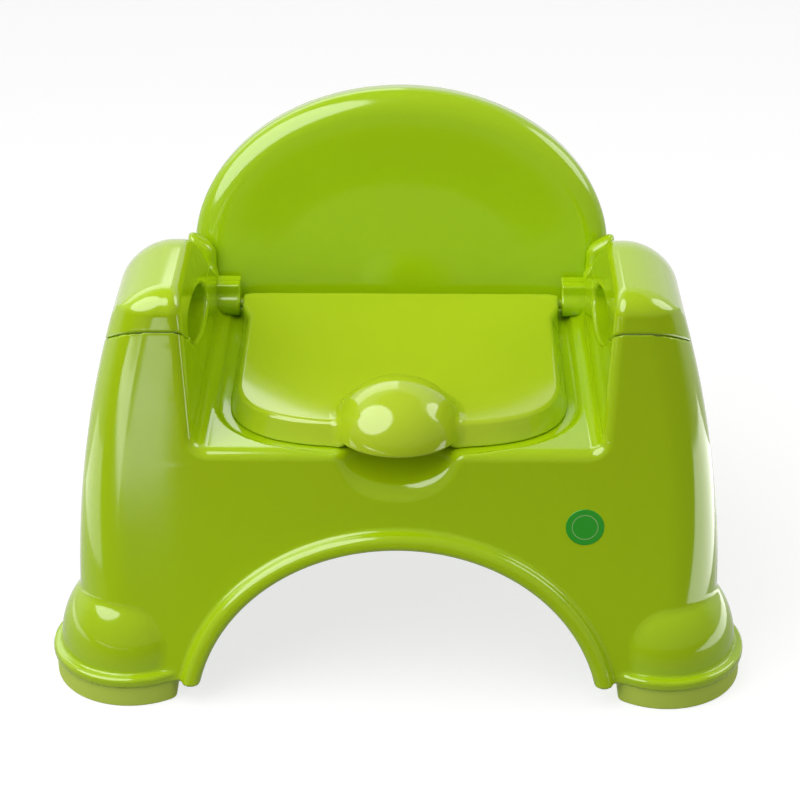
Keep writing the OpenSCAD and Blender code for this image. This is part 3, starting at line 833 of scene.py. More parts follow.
def moulded_surface() -> bpy.types.NodeTree:
    """Shared effect of moulded plastic: faint mottling, uneven gloss, fine grain and a slow ripple.

    Returns:
        The node group, made once.
    """
    name = "moulded_surface"
    if name in bpy.data.node_groups:
        return bpy.data.node_groups[name]
    tree = bpy.data.node_groups.new(name, "ShaderNodeTree")
    face = tree.interface
    face.new_socket("Colour", in_out="INPUT", socket_type="NodeSocketColor")
    for label in ("Mottle", "Roughness", "Grain Scale", "Grain", "Ripple"):
        face.new_socket(label, in_out="INPUT", socket_type="NodeSocketFloat")
    face.new_socket("Colour", in_out="OUTPUT", socket_type="NodeSocketColor")
    for label in ("Roughness", "Height"):
        face.new_socket(label, in_out="OUTPUT", socket_type="NodeSocketFloat")
    wiring = Wiring(tree)
    source, sink = wiring.add("NodeGroupInput").outputs, wiring.add("NodeGroupOutput")
    place = wiring.add("ShaderNodeTexCoord").outputs["Object"]

    def noise(scale: Socket | float, detail: float) -> Socket:
        """Noise in object coordinates."""
        feeds = {"Vector": place, "Scale": scale, "Detail": detail}
        return wiring.add("ShaderNodeTexNoise", feeds).outputs["Fac"]

    swing = wiring.math("MULTIPLY", wiring.math("SUBTRACT", noise(9.0, 3.0), 0.5), source["Mottle"])
    shade = wiring.add(
        "ShaderNodeHueSaturation",
        {
            "Color": source["Colour"],
            "Value": wiring.math("ADD", swing, 1.0),
            "Hue": wiring.math("MULTIPLY_ADD", swing, 0.12, 0.5),
        },
    )
    uneven = wiring.math("MULTIPLY_ADD", noise(60.0, 4.0), 0.5, 0.75)
    fine = wiring.math("MULTIPLY", noise(source["Grain Scale"], 2.0), source["Grain"])
    slow = wiring.math("MULTIPLY", noise(14.0, 1.0), source["Ripple"])
    wiring.feed(
        sink,
        {
            "Colour": shade.outputs["Color"],
            "Roughness": wiring.math("MULTIPLY", uneven, source["Roughness"]),
            "Height": wiring.math("ADD", fine, slow),
        },
    )
    return tree


@dataclass(frozen=True)
class Finish:
    """A moulded or metal finish."""

    name: str
    colour: Triple
    roughness: float
    shine: float = 0.55
    metallic: float = 0.0
    mottle: float = 0.08
    grain_scale: float = 1500.0
    grain: float = 0.012
    ripple: float = 0.9
    relief: float = 0.5
    depth: float = 0.0004

    def material(self) -> bpy.types.Material:
        """Builds the finish as a node material, once.

        Returns:
            The material.
        """
        if self.name in bpy.data.materials:
            return bpy.data.materials[self.name]
        material = bpy.data.materials.new(self.name)
        material.use_nodes = True
        wiring = Wiring(material.node_tree)
        values = {
            "Colour": linear(self.colour),
            "Mottle": self.mottle,
            "Roughness": self.roughness,
            "Grain Scale": self.grain_scale,
            "Grain": self.grain,
            "Ripple": self.ripple,
        }
        surface = wiring.add("ShaderNodeGroup", values, node_tree=moulded_surface()).outputs
        relief = {"Strength": self.relief, "Distance": self.depth, "Height": surface["Height"]}
        wiring.feed(
            material.node_tree.nodes["Principled BSDF"],
            {
                "Base Color": self.tint(wiring, surface["Colour"]),
                "Roughness": surface["Roughness"],
                "Normal": wiring.add("ShaderNodeBump", relief).outputs["Normal"],
                "Metallic": self.metallic,
                "Specular IOR Level": self.shine,
            },
        )
        return material

    def tint(self, wiring: Wiring, colour: Socket) -> Socket:
        """Colour that the shader gets; a plain finish leaves it as it is."""
        return colour


@dataclass(frozen=True)
class RingedFinish(Finish):
    """A finish with one plain pale ring round a middle, in mm."""

    middle: Triple = (0.0, 0.0, 0.0)
    ring_r: float = 7.0
    ring_w: float = 0.45
    ring_colour: Triple = (150.0, 190.0, 120.0)

    def tint(self, wiring: Wiring, colour: Socket) -> Socket:
        """Mixes the ring into the colour.

        Args:
            wiring: The material's nodes.
            colour: Colour of the ground.

        Returns:
            Colour with the ring.
        """
        place = wiring.add("ShaderNodeTexCoord").outputs["Object"]
        ends = {0: place, 1: [c * MM for c in self.middle]}
        reach = wiring.add("ShaderNodeVectorMath", ends, operation="DISTANCE").outputs["Value"]
        near = wiring.math("COMPARE", reach, self.ring_r * MM, self.ring_w / 2 * MM)
        colours = {"Factor": near, 6: colour, 7: linear(self.ring_colour)}
        return wiring.add("ShaderNodeMix", colours, data_type="RGBA").outputs[2]


STICKER_X, STICKER_Z = 102.0, 103.0
STICKER_AT = (STICKER_X, float(FORM.front(np.array(STICKER_Z))), STICKER_Z)
BODY_FINISH = Finish("lime_gloss_body", (171, 204, 10), 0.09)
BACK_FINISH = Finish("lime_gloss_backrest", (166, 203, 7), 0.11)
# The lid's lime has its blue raised: a painted pale sheen that stands in for a reflection on the lid.
# The lid pins share it.
LID_FINISH_WITH_PAINTED_SHEEN = Finish("lime_gloss_lid", (180, 206, 34), 0.1)
BOWL_FINISH = Finish("lime_gloss_bowl", (180, 210, 40), 0.13)
PAD_FINISH = Finish("lime_soft_pad", (194, 218, 74), 0.6, grain_scale=900.0, grain=0.35, ripple=0.1)
STICKER_FINISH = RingedFinish("green_sticker", (42, 166, 32), 0.35, middle=STICKER_AT)
STEEL_FINISH = Finish(
    "zinc_steel", (168, 170, 174), 0.35, shine=0.5, metallic=1.0, mottle=0.2, grain_scale=2500.0
)


# Pieces


@dataclass(frozen=True)
class Moulding:
    """A piece that is built from a distance field, read between two corners in mm."""

    name: str
    node: str
    body: Body
    slot: str
    finish: Finish
    low: Triple
    high: Triple
    step: float
    triangles: int

    def field(self, x: Grid, y: Grid, z: Grid) -> Grid:
        """Distance to the piece, below zero inside."""
        raise NotImplementedError

    def build(self) -> bpy.types.Object:
        """Returns:
            The piece.
        """
        low = tuple(v - GRID_MARGIN * self.step for v in self.low)
        high = tuple(v + GRID_MARGIN * self.step for v in self.high)
        places, quads = skin(sample(self.field, low, high, self.step), low, self.step)
        places = settle(self.field, places, self.step)
        mesh = thinned(quad_mesh(self.name, places, quads), self.triangles)
        smooth_from(mesh, self.field, self.step)
        mesh.name = self.name
        mesh.materials.clear()
        mesh.materials.append(self.finish.material())
        piece = in_scene(self.name, mesh)
        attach(piece, self.body.value)
        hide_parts(self.node)
        LOG.info("%s: %d triangles", self.name, len(mesh.polygons))
        return piece


@dataclass(frozen=True)
class SeatBody(Moulding):
    """The moulded body up to the arm seams."""

    def field(self, x: Grid, y: Grid, z: Grid) -> Grid:
        """Moulding without what is over the seams."""
        return round_cut(FORM.moulding(x, y, z), FORM.gap - FORM.cap_zone(y, z), FORM.seam_r)


@dataclass(frozen=True)
class ArmCap(Moulding):
    """The cap that closes an arm."""

    def field(self, x: Grid, y: Grid, z: Grid) -> Grid:
        """What is over the seams."""
        return round_cut(FORM.moulding(x, y, z), FORM.cap_zone(y, z) + FORM.gap, FORM.seam_r)


@dataclass(frozen=True)
class Backrest(Moulding):
    """The dished back panel with its rolled rim, its ribs and its screw bosses."""

    half: float = 126.0
    straight: float = 33.0
    length: float = 131.0
    lean: float = math.radians(12)
    foot_y: float = 72.0
    gap: float = 0.3
    gap_fillet: float = 2.5
    gap_r: float = 0.8
    depth: float = 24.0
    skin_t: float = 3.2
    dish: float = 3.0
    dish_span: Pair = (13.0, 62.0)
    rim: Pair = (15.0, 11.0)
    edge_r: float = 1.3
    rib_gap: float = 32.0
    rib_t: float = 2.4
    rib_reach: float = 0.62
    rib_depth: float = 6.0
    rib_gain: float = 9.0
    rib_fillet: float = 1.0
    cross_at: Pair = (0.3, 0.5)
    cross_depth: float = 11.0
    boss_r: float = 5.0
    boss_h: float = 23.0
    bite: float = 1.0

    def ribs(self, ax: Grid, deep: Grid, up: Grid) -> Grid:
        """Distance to the upright and level ribs behind the panel.

        Args:
            ax: Distance from the middle of the chair.
            deep: Depth behind the panel's front.
            up: Height along the panel.

        Returns:
            Distance, below zero inside.
        """
        nearest = np.clip(np.round(ax / self.rib_gap - 0.5), 0, 2) + 0.5
        bar = np.abs(ax - nearest * self.rib_gap) - self.rib_t / 2
        top = self.rib_reach * self.length
        back = self.rib_depth + self.rib_gain * np.clip(1 - up / top, 0, 1)
        ribs = np.maximum(bar, np.maximum(up - top, deep - back))
        for place in self.cross_at:
            cross = np.abs(up - place * self.length) - self.rib_t / 2
            cross = np.maximum(cross, ax - 2.5 * self.rib_gap)
            ribs = np.minimum(ribs, np.maximum(cross, deep - self.cross_depth))
        return ribs

    def field(self, x: Grid, y: Grid, z: Grid) -> Grid:
        """Panel, ribs and bosses, trimmed round the body.

        Args:
            x: Place across the chair.
            y: Place along the chair.
            z: Height.

        Returns:
            Distance, below zero inside.
        """
        c, s = math.cos(self.lean), math.sin(self.lean)
        dy, dz = y - self.foot_y, z - FORM.seat_h - self.gap
        deep, up = dy * c - dz * s, dy * s + dz * c
        edge = oval(x, np.maximum(up - self.straight, 0), self.half, self.length - self.straight)
        sunk = self.dish * ease(*self.dish_span, -edge)
        face = oval_cut(edge, sunk - deep, *self.rim)
        plate = round_cut(np.maximum(face, -(face + self.skin_t)), deep - self.depth, self.edge_r)
        ax = np.abs(x)
        boss_x, boss_y = FORM.back_screw
        boss = np.hypot(ax - boss_x, y - boss_y) - self.boss_r
        boss = np.maximum(boss, z - FORM.seat_h - self.boss_h)
        inner = np.maximum(np.minimum(self.ribs(ax, deep, up), boss), face + self.bite)
        rest = round_union(plate, inner, self.rib_fillet)
        body = round_union(FORM.solid(x, y, z), FORM.posts(x, y, z), self.gap_fillet)
        return round_cut(rest, self.gap - body, self.gap_r)


@dataclass(frozen=True)
class Lid(Moulding):
    """The lid with its sloping skirt, its domed front, and the ribs and knuckles underneath."""

    top: float = 157.0
    bottom: float = 143.9
    edge_r: float = 2.2
    skirt_slope: float = 0.42
    skirt_end: Pair = (30.0, 52.0)
    skin_t: float = 2.5
    dome_y: float = 90.0
    dome_low: float = 147.8
    dome_radii: Triple = (35.0, 33.0, 29.2)
    dome_fillet: float = 4.0
    rim_rise: float = 3.9
    rim_span: Pair = (-0.5, 3.5)
    rim_r: float = 1.0
    rib_x: Pair = (20.0, 60.0)
    rib_y: Pair = (10.0, 30.0)
    rib_end: float = 58.0
    rib_low: float = 150.0
    rib_half: float = 1.2
    rib_inset: float = 1.2
    rib_sink: float = 1.0
    dome_clear: float = 1.5
    knuckle_r: float = 5.0
    knuckle_x: float = 88.2
    knuckle_hw: float = 6.8
    knuckle_edge: float = 0.8
    knuckle_fillet: float = 1.0
    knuckle_ahead: float = 12.0

    def ribs(self, x: Grid, y: Grid, z: Grid, plate: Grid, dome: Grid) -> Grid:
        """Distance to the ribs under the plate.

        Args:
            x: Place across the chair.
            y: Place along the chair.
            z: Height.
            plate: Distance to the plate.
            dome: Distance to the dome.

        Returns:
            Distance, below zero inside.
        """
        ax, ay = np.abs(x), np.abs(y)
        lengthways = np.minimum(*(np.abs(ax - place) for place in self.rib_x))
        across = np.minimum(*(np.abs(ay - place) for place in self.rib_y))
        bars = np.minimum(np.where(ay < self.rib_end, lengthways, FAR), across) - self.rib_half
        ribs = np.maximum(bars, plate + self.rib_inset)
        ribs = np.maximum(ribs, np.maximum(self.rib_low - z, -(dome + self.dome_clear)))
        return np.maximum(ribs, z - self.top + self.rib_sink)

    def field(self, x: Grid, y: Grid, z: Grid) -> Grid:
        """Plate, dome, ribs and knuckles.

        Args:
            x: Place across the chair.
            y: Place along the chair.
            z: Height.

        Returns:
            Distance, below zero inside.
        """
        edge = FORM.lid_edge(x, y)
        front = 1 - ease(*self.skirt_end, y)
        skirt = edge + self.skirt_slope * front * (z - self.bottom)
        plate = round_cut(skirt / math.hypot(1, self.skirt_slope), z - self.top, self.edge_r)
        dome = ball(x, y + self.dome_y, np.maximum(z - self.dome_low, 0), self.dome_radii)
        cover = round_union(plate, dome, self.dome_fillet)
        shell = np.maximum(cover, -(cover + self.skin_t))
        shell = np.minimum(shell, self.ribs(x, y, z, plate, dome))
        low = self.bottom + self.rim_rise * ease(*self.rim_span, edge)
        raised = np.maximum(low, FORM.hinge_z - self.knuckle_r)
        low = np.where(y > FORM.hinge_y - self.knuckle_ahead, raised, low)
        shell = round_cut(shell, low - z, self.rim_r)
        knuckle = np.hypot(y - FORM.hinge_y, z - FORM.hinge_z) - self.knuckle_r
        ends = np.abs(np.abs(x) - self.knuckle_x) - self.knuckle_hw
        return round_union(shell, round_cut(knuckle, ends, self.knuckle_edge), self.knuckle_fillet)


@dataclass(frozen=True)
class HingeBlock(Moulding):
    """An ear that carries one of the lid's pins; its heel and brow are middles and half-lengths."""

    mid_x: float = 104.5
    half_x: float = 7.5
    lobe_r: float = 7.8
    heel: tuple[float, float, float, float] = (5.25, 2.5, 5.25, 11.0)
    brow: tuple[float, float, float, float] = (-1.0, 7.0, 3.25, 6.5)
    soft_r: float = 1.5
    side_r: float = 1.4
    hole_r: float = 3.06
    hole_lip: float = 0.4

    def field(self, x: Grid, y: Grid, z: Grid) -> Grid:
        """Rounded ear with its pin hole.

        Args:
            x: Place across the chair.
            y: Place along the chair.
            z: Height.

        Returns:
            Distance, below zero inside.
        """
        dy, dz = y - FORM.hinge_y, z - FORM.hinge_z
        pin = np.hypot(dy, dz)
        shape = pin - self.lobe_r
        for mid_y, mid_z, half_y, half_z in (self.heel, self.brow):
            block = panel(dy - mid_y, dz - mid_z, half_y, half_z, self.soft_r)
            shape = round_union(shape, block, self.soft_r)
        ear = round_cut(shape, np.abs(np.abs(x) - self.mid_x) - self.half_x, self.side_r)
        return round_cut(ear, self.hole_r - pin, self.hole_lip)


@dataclass(frozen=True)
class Bowl(Moulding):
    """The bowl with the flange that runs on the rails and the pull at its rear."""

    top: float = 131.0
    bottom: float = 65.0
    bottom_r: float = 52.0
    rim_r: float = 73.0
    rim_z: float = 128.0
    base_fillet: float = 8.0
    skin_t: float = 3.0
    edge_r: float = 0.9
    flange_r: float = 96.0
    flange_hw: float = 84.0
    flange_ahead: float = 80.0
    flange_t: float = 3.0
    flange_fillet: float = 2.0
    pull_hw: float = 28.0
    pull_end: float = 101.0
    pull_t: float = 3.0
    pull_h: float = 12.0
    pull_r: float = 1.2
    pull_fillet: float = 1.0

    def field(self, x: Grid, y: Grid, z: Grid) -> Grid:
        """Tapered bowl, flange and pull.

        Args:
            x: Place across the chair.
            y: Place along the chair.
            z: Height.

        Returns:
            Distance, below zero inside.
        """
        ax, dy = np.abs(x), y - FORM.hole_y
        q = np.hypot(x, dy)
        taper = (self.rim_r - self.bottom_r) / (self.rim_z - self.bottom)
        side = (q - self.bottom_r - taper * (z - self.bottom)) / math.hypot(1, taper)
        pot = round_cut(side, self.bottom - z, self.base_fillet)
        flange = np.maximum(np.maximum(ax, dy) - self.flange_hw, -self.flange_ahead - dy)
        flange = np.maximum(q - self.flange_r, flange)
        tongue = np.maximum(ax - self.pull_hw, np.maximum(-dy, dy - self.pull_end))
        half_t = self.flange_t / 2
        level = np.abs(z - self.top + half_t) - half_t
        flange = round_cut(np.minimum(flange, tongue), level, self.edge_r)
        half_t, half_h = self.pull_t / 2, self.pull_h / 2
        pull = panel(dy - self.pull_end + half_t, z - self.top + half_h, half_t, half_h, self.pull_r)
        pull = round_cut(pull, ax - self.pull_hw, self.pull_r)
        form = round_union(round_union(pot, flange, self.flange_fillet), pull, self.pull_fillet)
        form = round_cut(form, z - self.top, self.edge_r)
        return round_cut(form, -(pot + self.skin_t), self.edge_r)


@dataclass(frozen=True)
class SplashGuard(Moulding):
    """The upright guard at the front of the seat opening; places are radii and heights."""

    spread: float = math.radians(16)
    bend_r: float = 68.0
    wall_at: Pair = (68.25, 153.75)
    wall_half: Pair = (1.25, 10.25)
    wall_r: float = 1.2
    foot_at: Pair = (70.5, 144.75)
    foot_half: Pair = (3.5, 1.25)
    foot_r: float = 0.8
    foot_fillet: float = 2.0
    end_r: float = 1.0

    def field(self, x: Grid, y: Grid, z: Grid) -> Grid:
        """Curved upright with a foot.

        Args:
            x: Place across the chair.
            y: Place along the chair.
            z: Height.

        Returns:
            Distance, below zero inside.
        """
        dy = y - FORM.hole_y
        q = np.hypot(x, dy)
        ends = (np.abs(np.arctan2(x, -dy)) - self.spread) * self.bend_r
        wall = panel(q - self.wall_at[0], z - self.wall_at[1], *self.wall_half, self.wall_r)
        foot = panel(q - self.foot_at[0], z - self.foot_at[1], *self.foot_half, self.foot_r)
        return round_cut(round_union(wall, foot, self.foot_fillet), ends, self.end_r)


@dataclass(frozen=True)
class FootPad(Moulding):
    """A soft pad under a foot."""

    radius: float = 44.5
    inner_x: float = 123.5
    inner_y: float = 67.5
    half_h: float = 6.45
    corner_r: float = 2.5
    edge_r: float = 1.0

    def field(self, x: Grid, y: Grid, z: Grid) -> Grid:
        """Round pad with two flat ends.

        Args:
            x: Place across the chair.
            y: Place along the chair.
            z: Height.

        Returns:
            Distance, below zero inside.
        """
        ax, ay = np.abs(x), np.abs(y)
        outline = np.hypot(ax - FORM.foot_x, ay - FORM.foot_y) - self.radius
        outline = round_cut(outline, self.inner_x - ax, self.corner_r)
        outline = round_cut(outline, self.inner_y - ay, self.corner_r)
        return round_cut(outline, np.abs(z - self.half_h) - self.half_h, self.edge_r)


@dataclass(frozen=True)
class Sticker(Moulding):
    """The plain round sticker on the front."""

    radius: float = 10.5
    half_t: float = 0.4
    sink: float = 0.1
    edge_r: float = 0.25

    def field(self, x: Grid, y: Grid, z: Grid) -> Grid:
        """Thin disc with a soft edge, lying on the front wall.

        Args:
            x: Place across the chair.
            y: Place along the chair.
            z: Height.

        Returns:
            Distance, below zero inside.
        """
        cx, cy, cz = STICKER_AT
        lean = FORM.front_flare * float(FORM.flare_slope(np.array(cz)))
        size = math.hypot(1, lean)
        ny, nz = -1 / size, lean / size
        out = (y - cy) * ny + (z - cz) * nz
        across = np.hypot(x - cx, (z - cz) * -ny + (y - cy) * nz)
        return round_cut(across - self.radius, np.abs(out + self.sink) - self.half_t, self.edge_r)


@dataclass(frozen=True)
class ScrewSet:
    """Screws of one kind, set out by geometry nodes; sizes in mm."""

    name: str
    node: str
    places: tuple[Triple, ...]
    shank: float
    shank_r: float = 1.9
    head_r: float = 3.8
    head_h: float = 2.6
    cross_long: float = 1.1
    cross_wide: float = 0.28
    head_sides: int = 40
    shank_sides: int = 24

    def tree(self) -> bpy.types.NodeTree:
        """Node tree that puts a cross-head screw on every point, made once.

        Returns:
            The tree, with named sizes.
        """
        name = "cross_head_screws"
        if name in bpy.data.node_groups:
            return bpy.data.node_groups[name]
        tree = bpy.data.node_groups.new(name, "GeometryNodeTree")
        face = tree.interface
        face.new_socket("Geometry", in_out="INPUT", socket_type="NodeSocketGeometry")
        for label in ("Head Radius", "Head Height", "Shank Radius", "Shank Length"):
            face.new_socket(label, in_out="INPUT", socket_type="NodeSocketFloat")
        face.new_socket("Finish", in_out="INPUT", socket_type="NodeSocketMaterial")
        face.new_socket("Geometry", in_out="OUTPUT", socket_type="NodeSocketGeometry")
        wiring = Wiring(tree)
        source, sink = wiring.add("NodeGroupInput").outputs, wiring.add("NodeGroupOutput")
        head_r, head_h, length = source["Head Radius"], source["Head Height"], source["Shank Length"]

        def rod(radius: Socket, depth: Socket, sides: int, height: Socket) -> Socket:
            """An upright rod with its middle at a height.

            Args:
                radius: Its radius.
                depth: Its length.
                sides: Its number of sides.
                height: Where its middle is.

            Returns:
                Socket with its mesh.
            """
            feeds = {"Vertices": sides, "Radius": radius, "Depth": depth}
            mesh = wiring.add("GeometryNodeMeshCylinder", feeds).outputs["Mesh"]
            shift = wiring.add("ShaderNodeCombineXYZ", {"Z": height}).outputs[0]
            feeds = {"Geometry": mesh, "Translation": shift}
            return wiring.add("GeometryNodeTransform", feeds).outputs[0]

        head = rod(head_r, head_h, self.head_sides, wiring.math("MULTIPLY", head_h, 0.5))
        middle = wiring.math("MULTIPLY_ADD", length, 0.5, head_h)
        shank = rod(source["Shank Radius"], length, self.shank_sides, middle)
        recess = wiring.add("GeometryNodeMeshBoolean", {"Mesh 1": head}, operation="DIFFERENCE")
        for x, y in ((self.cross_long, self.cross_wide), (self.cross_wide, self.cross_long)):
            sides = {
                "X": wiring.math("MULTIPLY", head_r, x),
                "Y": wiring.math("MULTIPLY", head_r, y),
                "Z": head_h,
            }
            size = wiring.add("ShaderNodeCombineXYZ", sides).outputs[0]
            slot = wiring.add("GeometryNodeMeshCube", {"Size": size}).outputs["Mesh"]
            wiring.feed(recess, {"Mesh 2": slot})
        whole = wiring.add("GeometryNodeJoinGeometry", {0: recess.outputs["Mesh"]})
        wiring.feed(whole, {0: shank})
        feeds = {"Points": source["Geometry"], "Instance": whole.outputs[0]}
        copies = wiring.add("GeometryNodeInstanceOnPoints", feeds)
        real = wiring.add("GeometryNodeRealizeInstances", {0: copies.outputs[0]})
        feeds = {"Geometry": real.outputs[0], "Material": source["Finish"]}
        wiring.feed(sink, {0: wiring.add("GeometryNodeSetMaterial", feeds).outputs[0]})
        return tree

    def build(self) -> bpy.types.Object:
        """Returns:
            The piece.
        """
        points = bpy.data.meshes.new(self.name)
        points.from_pydata([[c * MM for c in place] for place in self.places], [], [])
        piece = in_scene(self.name, points)
        maker = piece.modifiers.new("screws", "NODES")
        maker.node_group = self.tree()
        values = {
            "Head Radius": self.head_r * MM,
            "Head Height": self.head_h * MM,
            "Shank Radius": self.shank_r * MM,
            "Shank Length": self.shank * MM,
            "Finish": STEEL_FINISH.material(),
        }
        for item in maker.node_group.interface.items_tree:
            if item.in_out == "INPUT" and item.name in values:
                maker[item.identifier] = values[item.name]
        shown = piece.evaluated_get(bpy.context.evaluated_depsgraph_get())
        mesh = bpy.data.meshes.new_from_object(shown)
        piece.modifiers.clear()
        piece.data = mesh
        bpy.data.meshes.remove(points)
        mesh.name = self.name
        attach(piece, Body.BASE.value)
        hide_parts(self.node)
        LOG.info("%s: %d screws", self.name, len(self.places))
        return piece


# The chair


@dataclass(frozen=True)
class Chair:
    """All the pieces of the chair."""

    cap_screw_drop: float = 6.1
    back_screw_z: float = 137.4
    rail_screw_x: float = 92.9
    rail_screw_y: Triple = (-70.0, 0.0, 70.0)
    rail_screw_z: float = 133.9

    def middle_pieces(self) -> list[Moulding]:
        """Lists the single pieces that are built from fields.

        Returns:
            The pieces, not built yet.
        """
        base = Body.BASE
        return [
            SeatBody(
                "seat_body", "base_shell", base, "body", BODY_FINISH,
                (-196, -145, 13), (196, 145, 216), step=1.5, triangles=196000,
            ),
            Backrest(
                "back_panel", "backrest", base, "backrest", BACK_FINISH,
                (-126, 72, 146), (126, 124, 273), step=1.3, triangles=120000,
            ),
            Lid(
                "seat_lid", "lid", Body.LID, "lid", LID_FINISH_WITH_PAINTED_SHEEN,
                (-95, -124, 143.5), (95, 67, 178), step=1.1, triangles=150000,
            ),
            Bowl(
                "pull_out_bowl", "bowl", Body.BOWL, "bowl", BOWL_FINISH,
                (-84, -98, 65), (84, 87, 131), step=1.4, triangles=90000,
            ),
            SplashGuard(
                "front_splash_guard", "splash_guard", base, "bowl", BOWL_FINISH,
                (-21, -89, 143), (21, -77, 165), step=0.7, triangles=12000,
            ),
            Sticker(
                "round_sticker", "front_sticker", base, "sticker", STICKER_FINISH,
                (91, -122, 92), (113, -115, 114), step=0.3, triangles=9000,
            ),
        ]

    def side_pieces(self, side: Side) -> list[Moulding]:
        """Lists the pieces of one side that are built from fields.

        Args:
            side: Which side.

        Returns:
            The pieces, not built yet.
        """
        base, name = Body.BASE, side.name.lower()

        def box(near: float, far: float, y: Pair, z: Pair) -> tuple[Triple, Triple]:
            """Lowest and highest corner of a box on this side."""
            a, b = (near, far) if side is Side.RIGHT else (-far, -near)
            return (a, y[0], z[0]), (b, y[1], z[1])

        pieces: list[Moulding] = [
            ArmCap(
                f"{name}_cap", f"{name}_arm_cap", base, "body", BODY_FINISH,
                *box(110.5, 166, (-110, 32.5), (188, 236.5)), step=1.0, triangles=60000,
            ),
            HingeBlock(
                f"{name}_ear", f"{name}_hinge_block", base, "body", BODY_FINISH,
                *box(96.5, 112.5, (52, 72), (143, 170)), step=0.55, triangles=9000,
            ),
        ]
        for end, y in (("front", (-144, -67)), ("rear", (67, 144))):
            pad = FootPad(
                f"{end}_{name}_pad", f"{end}_{name}_foot_pad", base, "pads", PAD_FINISH,
                *box(121.5, 195, y, (0, 13)), step=0.9, triangles=16000,
            )
            pieces.append(pad)
        return pieces

    def screws(self) -> list[ScrewSet]:
        """Lists the sets of screws.

        Returns:
            The sets, not built yet.
        """
        arm, back, rail = [], [], []
        back_x, back_y = FORM.back_screw
        for side in Side:
            s = side.value
            arm += [(s * FORM.web_x, y, FORM.web_top(y) - self.cap_screw_drop) for y in FORM.web_y]
            back.append((s * back_x, back_y, self.back_screw_z))
            rail += [(s * self.rail_screw_x, y, self.rail_screw_z) for y in self.rail_screw_y]
        return [
            ScrewSet("cap_screws", "arm_cap_screws", tuple(arm), shank=10.0),
            ScrewSet("back_screws", "backrest_screws", tuple(back), shank=22.0),
            ScrewSet("slide_screws", "rail_screws", tuple(rail), shank=5.9),
        ]

    def dress_cad(self) -> None:
        """Gives the CAD nodes that stay their finishes."""
        for part, finish in (("lid_pin", LID_FINISH_WITH_PAINTED_SHEEN), ("bowl_rail", BODY_FINISH)):
            for side in Side:
                node = f"{side.name.lower()}_{part}"
                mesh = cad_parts[node].data
                mesh.materials.clear()
                mesh.materials.append(finish.material())
                LOG.info("%s: CAD shape kept", node)

    def build(self) -> None:
        """Builds every piece."""
        self.dress_cad()
        pieces = self.middle_pieces()
        for side in Side:
            pieces += self.side_pieces(side)
        for piece in [*pieces, *self.screws()]:
            piece.build()


# The studio


def facing(place: Triple, aim: Triple) -> Euler:
    """Turn that points a lamp or a camera from a place to its aim."""
    return (Vector(aim) - Vector(place)).to_track_quat("-Z", "Y").to_euler()


class Use(Enum):
    """What a softbox is for."""

    FILL = "lights only"
    CARD = "shows only in reflections"


@dataclass(frozen=True)
class Softbox:
    """A square or oval lamp, or a card that shows only in reflections; sizes in metres."""

    name: str
    place: Triple
    size: Pair
    glow: float
    use: Use
    aim: Triple = (0.0, 0.0, 0.12)
    oval: bool = False

    def build(self) -> None:
        """Hangs the lamp so that it faces its aim."""
        lamp = bpy.data.lights.new(self.name, "AREA")
        lamp.shape = "ELLIPSE" if self.oval else "RECTANGLE"
        lamp.size, lamp.size_y = self.size
        area = self.size[0] * self.size[1] * (math.pi / 4 if self.oval else 1.0)
        lamp.energy = self.glow * math.pi * area
        holder = in_scene(self.name, lamp)
        holder.location = self.place
        holder.rotation_euler = facing(self.place, self.aim)
        holder.visible_camera = False
        holder.visible_diffuse = self.use is Use.FILL
        holder.visible_glossy = self.use is Use.CARD


def floor_card(name: str, x: float, y: float, size: Pair, glow: float) -> Softbox:
    """Card that lies just over the floor and faces up.

    Args:
        name: Name of the card.
        x: Place across the chair, in metres.
        y: Place along the chair, in metres.
        size: Its two lengths, in metres.
        glow: How bright it shows.

    Returns:
        The card, not built yet.
    """
    return Softbox(name, (x, y, 0.01), size, glow, Use.CARD, aim=(x, y, 1.0))


